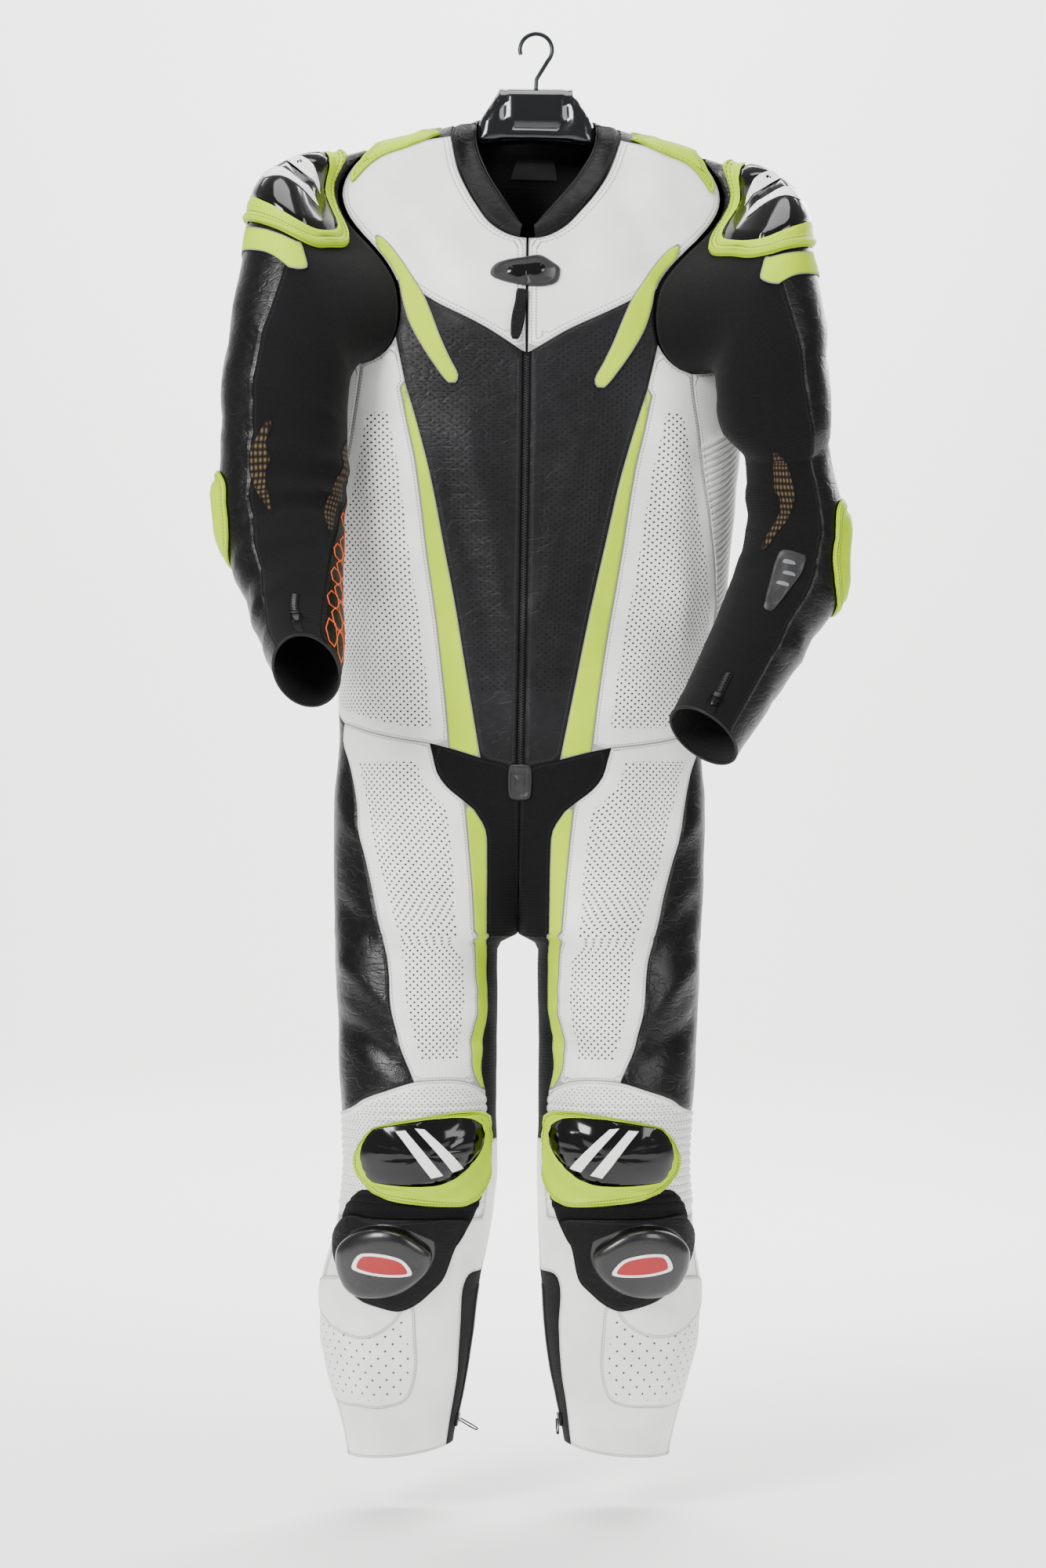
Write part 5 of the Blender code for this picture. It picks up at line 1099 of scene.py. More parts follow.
def reachOut(outline, middle, angle):
    way = (math.cos(angle), math.sin(angle))
    far = 0.0
    for a, b in zip(outline, outline[1:] + outline[:1]):
        run = (b[0] - a[0], b[1] - a[1])
        cross = way[0] * run[1] - way[1] * run[0]
        if abs(cross) < 1e-9:
            continue
        off = (a[0] - middle[0], a[1] - middle[1])
        distance = (off[0] * run[1] - off[1] * run[0]) / cross
        share = (off[0] * way[1] - off[1] * way[0]) / cross
        if distance > 0 and -1e-6 <= share <= 1 + 1e-6:
            far = max(far, distance)
    return far


def ringRows(outline, index, rows, inner=None):
    # a ring's two outlines, which finish it has, scale, height and how far it has gone over to the inner outline
    return [(outline, inner or outline, index, *row, 0)[:6] for row in rows]


ringGap = 0.6           # least width of a plate's ring


def makePlate(name, surface, facing, over, form, middle, outer, inner=None, nodes=()):
    # a disc with a wall, its top and floor inset ring by ring and then laid out from the edge to the middle
    spokes = form.get("spokes", 96)
    rings = ringRows(outer, 0, form["outer"], inner) + ringRows(inner or outer, 1, form.get("inner", ()))
    shapes = {1: rings, 0: ringRows(outer, 0, [(scale, form["floor"]) for scale in form.get("floors", (1.0, 0.5))])}
    builder = bmesh.new()
    edgeLayer, runLayer = seamLayers(builder)
    bmesh.ops.create_cone(builder, cap_ends=True, segments=spokes, radius1=100, radius2=100, depth=10)
    places, reaches = {}, {}

    def remember(verts, level, z):
        for vert in verts:
            places[vert] = (z, level, round(math.atan2(vert.co.y, vert.co.x) / 2 / math.pi * spokes) % spokes)

    for face in [face for face in builder.faces if len(face.verts) == spokes]:
        z = int(face.calc_center_median().z > 0)
        remember(face.verts, 0, z)
        levels = len(shapes[z])
        for level in range(1, levels):
            for band in bmesh.ops.inset_region(builder, faces=[face], thickness=90 / levels)["faces"]:
                remember(band.verts, level - 1, z)
            remember(face.verts, level, z)
        for vert in bmesh.ops.poke(builder, faces=[face])["verts"]:
            places[vert] = (z, levels, -1)
    for z, rows in shapes.items():
        last = [math.inf] * spokes
        for level, (outline, goal, _, scale, _, mix) in enumerate(rows):
            for index in range(spokes):
                angle = 2 * math.pi * index / spokes
                reach = reachOut(outline, middle, angle)
                if mix:
                    reach += (reachOut(goal, middle, angle) - reach) * mix
                last[index] = reaches[(z, level, index)] = min(reach * scale, last[index] - ringGap)
    runs = [0.0]
    for index in range(spokes - 1):
        a, b = (2 * math.pi * (index + k) / spokes for k in (0, 1))
        first, second = reaches[(1, 0, index)], reaches[(1, 0, index + 1)]
        runs.append(runs[-1] + math.dist((first * math.cos(a), first * math.sin(a)),
                                         (second * math.cos(b), second * math.sin(b))))
    for vert, (z, level, index) in places.items():
        row = shapes[z][min(level, len(shapes[z]) - 1)]
        reach = 0.0 if index < 0 else reaches[(z, level, index)]
        angle = 2 * math.pi * index / spokes
        u, v = middle[0] + reach * math.cos(angle), middle[1] + reach * math.sin(angle)
        point, normal = surface(u, v), normalAt(surface, u, v, facing)
        vert.co = (point + normal * (row[4] + standOff(over, point, normal))) * mm
        # the distance from the outer edge places the stitch rows and the finishes' painted edge shade
        vert[edgeLayer] = 99.0 if index < 0 or not z else reaches[(1, 0, index)] - reach
        vert[runLayer] = runs[index] if index >= 0 else 0.0
    for face in builder.faces:
        level = min(places[vert][1] for vert in face.verts)
        if all(places[vert][0] for vert in face.verts):
            face.material_index = rings[level + 1 if level + 1 < len(rings) else -1][2]
    return finish(name, builder, [finishes[key] for key in form["finishes"]], nodes=nodes, sharp=35)


def makeMark(name, outline, surface, facing, key, over, lift=0.5, wall=0.6):
    # a thin print or moulded mark on top of a plate
    makeOverlay(name, outline, surface, facing, key, over, lift=lift, wall=wall, step=3, cloth=False, replaces=False)


# rows of a plate: scale, height and, in the outer ones, how far over to the inner outline
limeOnBlack = ("limePlastic", "cupPlastic")
kneeGuard = {
    "finishes": limeOnBlack, "middle": (102, 1276), "floor": 2.2, "floors": (1.0, 0.7, 0.3),
    "outer": ((1.0, 3.6), (0.985, 6.0), (1.0, 8.2, 0.2), (1.0, 6.6, 0.34), (1.0, 7.0, 0.56), (1.0, 10.6, 0.7),
              (1.0, 11.0, 0.88)),
    "inner": ((1.07, 8.8), (1.02, 12.0), (0.92, 14.4), (0.7, 17.2), (0.5, 18.5), (0.25, 19.5)),
}
kneeSlider = {
    "finishes": ("collarHide", "slider"), "middle": (140, 1396), "floor": 1.0, "floors": (1.0, 0.7, 0.3),
    "outer": ((1.0, 2.6), (0.99, 4.2), (1.0, 5.4, 0.45), (1.0, 5.8, 0.85)),
    "inner": ((1.03, 6.2), (1.02, 9.2), (0.99, 16.0), (0.96, 19.0), (0.9, 22.0), (0.75, 24.0), (0.5, 25.0),
              (0.25, 25.0)),
}
loopCloth = {"wall": 0.8, "lift": 0.6}
overlayLift = 0.6       # cloth overlays stand this far off what they lie on
# loop cloth that the slider's patch is pressed onto, tucked under the knee's frame
sliderLoop = ((189, 1372), (193, 1352), (186, 1334), (170, 1318), (120, 1322), (50, 1320), (40, 1312), (44, 1336),
    (54, 1362), (70, 1384), (120, 1390), (180, 1384))
kneeMarks = (((66, 1290), (104, 1248), (113, 1247), (77, 1293)), ((86, 1296), (122, 1249), (131, 1250), (97, 1299)))
sliderMarks = ((((114, 1404), (124, 1386), (160, 1384), (168, 1402)), "inlay"),
               (((118, 1402), (126, 1388.5), (158, 1386.5), (163.5, 1400)), "redInlay"))
for side, tag in bothSides:
    leg, facing = bodySurface(side, "leg"), -side
    over = coverOf(*(node + tag for node in ("knee_ribs_", "shin_", "calf_", "inner_leg_")))
    frameEdge, dome = roundOutline(onBody(kneeFrame)), roundOutline(onBody(kneeDome))
    guard = makePlate("knee_armour_" + tag + "_shell", leg, facing, over, kneeGuard, front(*kneeGuard["middle"]),
                      frameEdge, dome, ("knee_armour_" + tag,))
    top = cover(guard)
    for index, mark in enumerate(kneeMarks):
        makeMark(f"knee_mark_{tag}_{index}", onBody(mark), leg, facing, "inlay", top)
    makeOverlay("slider_loop_" + tag, roundOutline(onBody(sliderLoop)), leg, facing, "knit", over, step=3,
                held="stretched", replaces=False, **loopCloth)
    puck = makePlate("slider_" + tag + "_block", leg, facing, over, kneeSlider, front(*kneeSlider["middle"]),
                     roundOutline(onBody(sliderPatch)), roundOutline(onBody(slider)), ("slider_" + tag,))
    top = cover(puck)
    for index, (mark, key) in enumerate(sliderMarks):
        makeMark(f"slider_mark_{tag}_{index}", roundOutline(onBody(mark), 4), leg, facing, key, top,
                 0.4 + 0.5 * index, 0.4)
print("knee armour made")

shoulderGuard = {
    "finishes": limeOnBlack, "middle": (0.04, 74), "floor": 1.6, "floors": (1.0, 0.7, 0.3),
    "outer": ((1.0, 4.1), (0.985, 6.5), (1.0, 9.0, 0.16), (1.0, 7.2, 0.3), (1.0, 7.7, 0.6), (1.0, 10.6, 0.76),
              (1.0, 11.0, 0.95)),
    "inner": ((0.99, 9.0), (0.95, 12.1), (0.86, 13.9), (0.68, 15.6), (0.4, 17.0)),
}
shoulderMarks = (((-0.05, 86), (0.12, 44), (0.145, 42), (-0.015, 91)),
                 ((0.01, 97), (0.15, 55), (0.175, 55), (0.045, 101)))
elbowGuard = {
    "finishes": limeOnBlack, "floor": 1.4, "r": (-0.02, 372), "l": (-0.02, 418),
    "outer": ((1.0, 2.4), (0.97, 4.4), (0.88, 6.0), (0.8, 5.0), (0.7, 8.6), (0.5, 10.0)),
    "inner": ((0.42, 8.4), (0.2, 8.0)),
}
tailForm = {"wall": 2.4, "lift": 0.8, "ridges": (52, 70), "high": 1.6, "wide": 4, "slope": 0.5}


def tailRise(u, v):
    # two moulded ridges across the tail
    place = body(u, v)
    along = abs(place.x) + tailForm["slope"] * place.z
    return sum(tailForm["high"] * math.exp(-((along - ridge) / tailForm["wide"]) ** 2)
               for ridge in tailForm["ridges"])


for side, tag in bothSides:
    surface = sleeveSurface(tag)[0]
    over = coverOf("sleeve_leather_" + tag, "sleeve_stretch_" + tag)
    guard = makePlate(
        "shoulder_armour_" + tag + "_shell", surface, side, over, shoulderGuard, *onSleeve((shoulderGuard["middle"],)),
        roundOutline(onSleeve(shoulderFrame)), roundOutline(onSleeve(shoulderCup)), ("shoulder_armour_" + tag,))
    top = cover(guard)
    for index, mark in enumerate(shoulderMarks):
        makeMark(f"shoulder_mark_{tag}_{index}", onSleeve(mark), surface, side, "inlay", top)
    makeOverlay("band_" + tag, roundOutline(onSleeve(shoulderBand)), surface, side, "lime", over, wall=overlay,
                lift=overlayLift, step=4, held="stretched")
    makePlate("elbow_cup_" + tag + "_shell", surface, side, over, elbowGuard, *onSleeve((elbowGuard[tag],)),
              roundOutline(onSleeve(elbowCups[tag])), nodes=("elbow_cup_" + tag,))
    body = bodySurface(side, "torso")
    under = coverOf("yoke_" + tag, "chest_" + tag, "back")
    makeOverlay("flash_" + tag, roundOutline(onBody(flash), 6), body, -side, "lime", under, wall=overlay,
                lift=overlayLift, step=4)
    makeOverlay("shoulder_tail_" + tag, roundOutline(onBody(tail)), body, -side, "limePlastic", under,
                wall=tailForm["wall"], lift=tailForm["lift"], step=5, rise=tailRise, cloth=False)
print("shoulder and elbow armour made")


# Collar
padThin = 0.55          # how much of its wall a pad loses along its edges


def makeShell(name, place, counts, wall, key, node):
    # place gives a point at (share along, share up); the wall grows away from the neck
    builder = bmesh.new()
    edgeLayer, runLayer = seamLayers(builder)
    bmesh.ops.create_grid(builder, x_segments=counts[0], y_segments=counts[1], size=0.5)
    uv = builder.loops.layers.uv.new("pattern")
    length = sum((place((k + 1) / 40, 1) - place(k / 40, 1)).length for k in range(40))
    height = (place(0.5, 1) - place(0.5, 0)).length
    for face in builder.faces:
        for loop in face.loops:
            loop[uv].uv = ((loop.vert.co.x + 0.5) * length * mm, (loop.vert.co.y + 0.5) * height * mm)
    made = bmesh.ops.extrude_face_region(builder, geom=builder.faces[:])
    outside = set(newVerts(made))
    for vert in builder.verts:
        s, t = vert.co.x + 0.5, vert.co.y + 0.5
        point = place(s, t)
        across = place(min(s + 0.01, 1), t) - place(max(s - 0.01, 0), t)
        upward = place(s, min(t + 0.01, 1)) - place(s, max(t - 0.01, 0))
        normal = across.cross(upward).normalized()
        grow = wall * (1 - padThin * (2 * t - 1) ** 6) if vert in outside else 0.0
        vert.co = (point + normal * grow) * mm
        vert[edgeLayer], vert[runLayer] = min(t, 1 - t) * height, s * length
    area = sum(face.calc_area() for face in builder.faces) / 2
    return finish(name, builder, (finishes[key],), nodes=(node,)), length * mm, height * mm, area


def makeTube(name, path, radius, key, sides=10):
    builder = bmesh.new()
    loops = []
    guide = (path[1] - path[0]).normalized().orthogonal()
    for index, point in enumerate(path):
        before, after = path[max(index - 1, 0)], path[min(index + 1, len(path) - 1)]
        along = (after - before).normalized()
        guide = (guide - along * guide.dot(along)).normalized()
        side = along.cross(guide)
        turn = Matrix((guide, side, along)).transposed().to_4x4()
        made = bmesh.ops.create_circle(builder, cap_ends=index in (0, len(path) - 1), segments=sides,
                                       radius=radius * mm, matrix=Matrix.Translation(point * mm) @ turn)
        loops.append(list({edge for vert in made["verts"] for edge in vert.link_edges}))
    for low, high in zip(loops, loops[1:]):
        bmesh.ops.bridge_loops(builder, edges=low + high)
    return finish(name, builder, (finishes[key],), sharp=60)


def readCurve(points, share):
    last = len(points) - 1
    index = min(int(share * last), last - 1)
    f = share * last - index
    four = [points[min(max(index + k, 0), last)] for k in (-1, 0, 1, 2)]
    keep, pull, push = blend(f)
    return (four[1] * keep + four[2] * (1 - keep) + (four[2] - four[0]) * (0.5 * pull)
            + (four[3] - four[1]) * (0.5 * push))


def collarPlace(low, high, bulge, reverse=False):
    starts = [a + (b - a).normalized() * collarLift for a, b in zip(low, high)]
    middle = sum(high, Vector()) / len(high)

    def place(s, t):
        s = 1 - s if reverse else s
        start, end = readCurve(starts, s), readCurve(high, s)
        away = start - middle
        away.z = 0
        return start.lerp(end, t) + away.normalized() * (4 * bulge * t * (1 - t))
    return place


collarForm = {"frontCounts": (72, 12), "backCounts": (80, 8), "frontBulge": 2.6, "backBulge": 1.6, "fill": 0.4,
              "rim": 2.3, "backRim": 1.9, "piping": 1.5, "rimUp": 0.4, "seamUp": 0.02}
neckLabel = {"edge": ((-25, 128), (25, 128), (25, 151), (-25, 151)), "wall": 0.4, "lift": -1.4}
frontBase = onBody(((9, 249.4), (25, 245), (44, 233), (59, 215), (71, 198), (83, 176), (90, 156), (96, 131),
                    (94, 113.5)))
backBase = onBody(((0.5, 109.5), (0.65, 108.6), (0.82, 108.3), (1, 108.2)))
for side, tag in bothSides:
    body = bodySurface(side, "torso")
    low = [body(u, v) for u, v in frontBase]
    high = [lean(side * x, y, drop) for x, drop, y in collarFront]
    place = collarPlace(low, high, collarForm["frontBulge"], reverse=side < 0)
    pad = makeShell("collar_" + tag + "_pad", place, collarForm["frontCounts"], collarPad, "collarHide",
                    "collar_" + tag)[0]
    rim = [place(k / 60, 1) + Vector((0, 0, collarForm["rimUp"])) for k in range(61)]
    seam = [place(k / 60, collarForm["seamUp"]) for k in range(61)]
    makeTube("collar_binding_" + tag, rim, collarForm["rim"], "binding")
    makeTube("collar_piping_" + tag, seam, collarForm["piping"], "binding", sides=8)
low, high = [], []
for side in (1, -1):
    body = bodySurface(side, "torso")
    base = [body(u, v) for u, v in backBase]
    tops = [lean(side * x, y, drop) for x, drop, y in collarBack]
    low = base if side == 1 else low[:-1] + base[::-1]
    high = tops if side == 1 else high[:-1] + tops[::-1]
place = collarPlace(low, high, collarForm["backBulge"])
piece, width, height, area = makeShell("collar_back_knit", place, collarForm["backCounts"], collarKnit, "knit",
                                       "collar_back")
knitCut = (width * cutSpare, max(height * 1.1, area / width))
cuts["collar_back_knit"] = (round(knitCut[0], 3), round(knitCut[1], 3), round(area, 4))
makeTube("collar_binding_back", [place(k / 80, 1) for k in range(81)], collarForm["backRim"], "binding")
body = bodySurface(1, "torso")
makePanel("neck_label", [(patternWidth + x, lengthAt(drop)) for x, drop in neckLabel["edge"]], body, -1,
          (finishes["satin"],) * 2, wall=neckLabel["wall"], lift=neckLabel["lift"], step=7, inset=0, replaces=False,
          held="laid")
print("collar made")


# Zips, tabs and pulls
teethForm = {"pitch": 3.0, "aside": 0.8, "bar": (3.6, 1.5, 1.9), "bevel": 0.4}


def makeTeeth(name, surface, facing, middle, first, last, over):
    # two rows of bars, each set half a pitch from the other
    builder = bmesh.new()
    pitch, bar = teethForm["pitch"], teethForm["bar"]
    for index in range(2 * int((last - first) / pitch)):
        u = middle + (teethForm["aside"] if index % 2 else -teethForm["aside"])
        v = first + (index + 0.5) * pitch / 2
        point, normal = surface(u, v), normalAt(surface, u, v, facing)
        down = (surface(u, v + 1) - surface(u, v - 1)).normalized()
        across = normal.cross(down)
        height = standOff(over, point, normal)
        turn = Matrix((across * bar[0], down * bar[1], normal * bar[2])).transposed().to_4x4()
        turn = Matrix.Translation((point + normal * (height + bar[2] / 2)) * mm) @ Matrix.Scale(mm, 4) @ turn
        made = bmesh.ops.create_cube(builder, size=1.0, matrix=turn)
        edges = {edge for vert in made["verts"] for edge in vert.link_edges}
        long = [edge for edge in edges if abs((edge.verts[0].co - edge.verts[1].co).normalized().dot(across)) > 0.9]
        bmesh.ops.bevel(builder, geom=long, offset=teethForm["bevel"] * mm, affect="EDGES", segments=1, profile=0.5,
                        material=-1)
    return finish(name, builder, (finishes["teeth"],))


def signedEdge(points, step=4):
    return roundOutline([signedFront(x, drop) for x, drop in points], step)


zipCloth = (finishes["zipCloth"],) * 2
# the tape's half width, its ends, where the teeth begin and end, how far the tape lies under the panels' inner face
mainZip = {"half": 14, "top": 255, "bottom": 846, "teeth": 384, "short": 4, "sunk": 1.2}
mainPull = {"x": -4, "drop": 310.5, "tilt": -0.7}
legZip = {"turn": 0.03, "teeth": (1432, 1592), "hole": 0.26}
cuffZip = {"half": 7, "lift": 0.3, "above": 1, "below": 25, "pull": 24}
neckForm = {"finishes": ("rubber",), "middle": (-2, 287), "floor": 0.3, "spokes": 80,
            "outer": ((1.0, 1.8), (0.97, 3.6), (0.92, 4.2), (0.84, 4.2), (0.8, 3.2), (0.5, 3.2), (0.2, 3.2))}
badgeForm = {"finishes": ("cupPlastic",), "middle": (-1, 287), "floor": 0.05, "spokes": 48,
             "outer": ((1.0, 0.2), (0.95, 0.8), (0.5, 1.0))}
flyForm = {"finishes": ("rubber",), "middle": (0, 861), "floor": 0.4, "spokes": 64,
           "outer": ((1.0, 1.6), (0.94, 2.8), (0.8, 3.0), (0.74, 2.2), (0.4, 2.2), (0.34, 3.0))}
badgeEdge = ((-22, 292), (-19, 284), (-2, 281), (14, 279), (20, 283), (17, 291), (0, 294), (-14, 296))
body = bodySurface(1, "torso")
z, half = mainZip, mainZip["half"]
top, bottom = lengthAt(z["top"]), lengthAt(z["bottom"])
makePanel("main_zip", [(-half, top), (half, top), (half, bottom), (-half, bottom)], body, -1, zipCloth, wall=zipTape,
          lift=-zipTape - z["sunk"], step=8, inset=0, cutsU=(0,))
makeTeeth("main_zip_teeth", body, -1, 0, lengthAt(z["teeth"]), bottom - z["short"], coverOf("main_zip"))
neck = makePlate("neck_tab_plate", body, -1, coverOf("yoke_l", "yoke_r"), neckForm,
                 signedFront(*neckForm["middle"]), signedEdge(neckTab), nodes=("neck_tab",))
makePlate("neck_tab_badge", body, -1, cover(neck), badgeForm, signedFront(*badgeForm["middle"]),
          signedEdge(badgeEdge, 3))
makePlate("fly_tab_plate", body, -1, coverOf("chest_l", "chest_r", "inner_leg_l", "inner_leg_r"), flyForm,
          signedFront(*flyForm["middle"]), signedEdge(flyTab), nodes=("fly_tab",))

tabOutline = ((-0.36, -0.02), (0.36, -0.02), (0.43, 0.27), (0.5, 0.55), (0.42, 0.84), (0.2, 1.0), (-0.2, 1.0),
    (-0.42, 0.84), (-0.5, 0.55), (-0.43, 0.27))
tabForm = {"step": 1.6, "ring": 1.1, "rings": 3, "bevel": 0.6}
sliderForm = {"width": 8.6, "narrow": 5.0, "above": 7.0, "below": 9.0, "sink": 1.2, "gap": 0.4, "least": 0.8,
              "bevel": 0.6}


def makePull(node, surface, facing, u, v, key, tilt=0.0, hole=0.0):
    # a tab hinged at its top, swung out from what it lies on
    width, length, thickness, clearance, swing = pulls[node]
    normal = normalAt(surface, u, v, facing)
    down = (surface(u + tilt, v + 6) - surface(u, v)).normalized()
    down = (down - normal * down.dot(normal)).normalized()
    across = normal.cross(down)
    pivot = surface(u, v) + normal * (clearance + thickness / 2)
    angle = math.radians(swing)
    along = down * math.cos(angle) + normal * math.sin(angle)
    out = normal * math.cos(angle) - down * math.sin(angle)
    outline = roundOutline([(a * width, b * length) for a, b in tabOutline], tabForm["step"])
    outline = [(min(max(a, -0.5 * width), 0.5 * width), min(max(b, -0.02 * length), length)) for a, b in outline]
    sheet = bmesh.new()
    edgeLayer, runLayer = seamLayers(sheet)
    face = sheet.faces.new([sheet.verts.new((a, b, 0)) for a, b in outline])
    if hole:
        bmesh.ops.inset_region(sheet, faces=[face], thickness=width * hole, use_boundary=True, use_even_offset=True)
        bmesh.ops.delete(sheet, geom=[face], context="FACES")
    else:
        ring = tabForm["ring"]
        for level in range(1, tabForm["rings"] + 1):
            for band in bmesh.ops.inset_region(sheet, faces=[face], thickness=ring, use_boundary=True,
                                               use_even_offset=True)["faces"]:
                for vert in band.verts:
                    vert[edgeLayer] = level * ring if vert in face.verts else (level - 1) * ring
                    vert[runLayer] = vert.co.y
    made = bmesh.ops.extrude_face_region(sheet, geom=sheet.faces[:])
    bmesh.ops.translate(sheet, vec=(0, 0, thickness), verts=newVerts(made))
    rims = [edge for edge in sheet.edges if edge.calc_face_angle(0) > 1]
    bmesh.ops.bevel(sheet, geom=rims, offset=min(tabForm["bevel"], thickness * 0.3), affect="EDGES", segments=2,
                    profile=0.5, material=-1)
    for vert in sheet.verts:
        a, b, z = vert.co
        vert.co = (pivot + across * a + along * b + out * (z - thickness / 2)) * mm
    return finish(node + "_tab", sheet, (finishes[key],), node, (node,))


def makeSlider(name, surface, facing, u, v, over, clearance):
    # the body of a zip slider, a blunt wedge on the teeth under its pull
    s, origin, normal = sliderForm, surface(u, v), normalAt(surface, u, v, facing)
    down = (surface(u, v + 6) - origin).normalized()
    across = normal.cross(down).normalized()
    low = standOff(over, origin, normal) - s["sink"]
    high = max(clearance - s["gap"], low + s["sink"] + s["least"])
    wide, narrow = s["width"] / 2, s["narrow"] / 2
    builder = bmesh.new()
    face = builder.faces.new([builder.verts.new((a, b, low)) for a, b in (
        (-wide, -s["above"]), (wide, -s["above"]), (wide, 1), (narrow, s["below"]), (-narrow, s["below"]),
        (-wide, 1))])
    made = bmesh.ops.extrude_face_region(builder, geom=[face])
    bmesh.ops.translate(builder, vec=(0, 0, high - low), verts=newVerts(made))
    bmesh.ops.bevel(builder, geom=builder.edges[:], offset=s["bevel"], affect="EDGES", segments=2, profile=0.5,
                    material=-1)
    for vert in builder.verts:
        a, b, z = vert.co
        vert.co = (origin + across * a + down * b + normal * z) * mm
    return finish(name, builder, (finishes["metal"],))


def makeClosure(name, tag, surface, facing, u, first, last, pullAt):
    # what lies on a short zip's tape: its teeth, its slider and the slider's pull
    tape, pull = coverOf(f"{name}_zip_{tag}"), f"{name}_pull_{tag}"
    makeTeeth(f"{name}_zip_teeth_{tag}", surface, facing, u, first, last, tape)
    makePull(pull, surface, facing, u, pullAt, "metal", hole=legZip["hole"])
    makeSlider(f"{name}_slider_{tag}", surface, facing, u, pullAt, tape, pulls[pull][3])


makePull("main_pull", body, -1, mainPull["x"], lengthAt(mainPull["drop"]), "collarHide", tilt=mainPull["tilt"])
for side, tag in bothSides:
    leg, sleeve = bodySurface(side, "leg"), sleeveSurface(tag)[0]
    u = legZip["turn"] * patternWidth
    first, last = (lengthAt(drop) for drop in legZip["teeth"])
    makePanel("leg_zip_" + tag, join(zipFront.part(), hem.part(1, 0), zipBack.part(4, 0)), leg, -side, zipCloth,
              wall=zipTape, step=8, inset=0, cutsU=(u,))
    makeClosure("leg", tag, leg, -side, u, first, last, last)
    share, first, last = cuffZips[tag]
    z, half, u = cuffZip, cuffZip["half"], share * sleeveWidth
    makePanel("cuff_zip_" + tag, [(u - half, first), (u + half, first), (u + half, last), (u - half, last)], sleeve,
              side, zipCloth, wall=zipTape, lift=z["lift"], step=6, inset=0, over=coverOf("sleeve_stretch_" + tag),
              fold=None, cutsU=(u,))
    makeClosure("cuff", tag, sleeve, side, u, first + z["above"], last - z["below"], last - z["pull"])
print("zips and pulls made")

# Hanger: broad moulded arms, a head with a sunk channel and a round wire hook
hangerForm = {"round": 10.0, "rim": 0.3, "channel": 4.0, "channelWidth": 5.0, "step": 6,
              "channelRun": ((-37, 60), (-37, 98), (-30, 108), (30, 108), (37, 98), (37, 60))}


def fromLine(x, drop, line):
    near = math.inf
    for a, b in zip(line, line[1:]):
        run = (b[0] - a[0], b[1] - a[1])
        share = min(max(((x - a[0]) * run[0] + (drop - a[1]) * run[1]) / (run[0] ** 2 + run[1] ** 2), 0), 1)
        near = min(near, math.dist((x, drop), (a[0] + run[0] * share, a[1] + run[1] * share)))
    return near


edge = [point for run in curveRun(list(hangerEdge), 6) for point in run[:-1]] + [hangerEdge[-1]]
outline = [(-x, drop) for x, drop in edge] + [(x, drop) for x, drop in edge[-2::-1]]
sheet = cutSheet(outline, hangerForm["step"], hangerForm["step"])
for vert in newVerts(bmesh.ops.extrude_face_region(sheet, geom=sheet.faces[:])):
    vert.co.z = 1
closed = outline + outline[:1]
for vert in sheet.verts:
    x, drop, back = vert.co
    ahead, behind = readRows(hangerDepth, abs(x))
    share = min(fromLine(x, drop, closed) / hangerForm["round"], 1.0)
    swell = hangerForm["rim"] + (1 - hangerForm["rim"]) * math.sqrt(1 - (1 - share) ** 2)
    away = fromLine(x, drop, hangerForm["channelRun"])
    sunk = hangerForm["channel"] * (1 - smooth(away / hangerForm["channelWidth"]))
    y = behind * swell if back > 0.5 else -ahead * swell + sunk
    vert.co = lean(x, y, drop) * mm
finish("hanger_body", sheet, (finishes["hanger"],), nodes=("hanger",), sharp=55)
hookForm = {"stem": [(0, 68), (0, 58), (0.6, 50), (6, 41)], "from": -42, "step": 8, "count": 31}
path = list(hookForm["stem"])
for k in range(hookForm["count"]):
    angle = math.radians(hookForm["from"] + k * hookForm["step"])
    path.append((hookReach * math.cos(angle), hookReach - hookWire / 2 - hookReach * math.sin(angle)))
makeTube("hanger_hook", [lean(x, 0, drop) for x, drop in path], hookWire / 2, "wire", sides=14)
print("hanger made")


# Sleeve inserts and cuffs
insertCloth = {"wall": 0.7, "lift": 0.05}
groundCloth = {"wall": 0.8, "lift": 0.05}
cuffBinding = {"radius": 1.7, "sunk": 0.5, "fromHem": 1}
sleeveInserts = {
    "r": (((0.225, 274), (0.231, 286), (0.219, 302), (0.231, 326), (0.219, 341), (0.231, 373), (0.238, 405),
           (0.219, 393), (0.194, 361), (0.175, 337), (0.181, 310), (0.2, 290)),
          ((0.488, 286), (0.494, 330), (0.456, 357), (0.431, 409), (0.419, 441), (0.387, 413), (0.394, 369),
           (0.431, 333), (0.444, 306))),
    "l": (((0.306, 272), (0.319, 277), (0.325, 347), (0.312, 360), (0.338, 400), (0.363, 431), (0.344, 431),
           (0.3, 400), (0.275, 373), (0.256, 351), (0.262, 325), (0.287, 281)),),
}
honeycomb = {"size": 13.0, "line": 1.0, "high": 0.7, "off": 0.05, "down": 6, "fill": 0.99,
             "edge": ((0.488, 362), (0.44, 430), (0.425, 500), (0.428, 548), (0.419, 590), (0.5, 596), (0.57, 590),
                      (0.575, 500), (0.57, 400), (0.55, 350), (0.52, 335))}
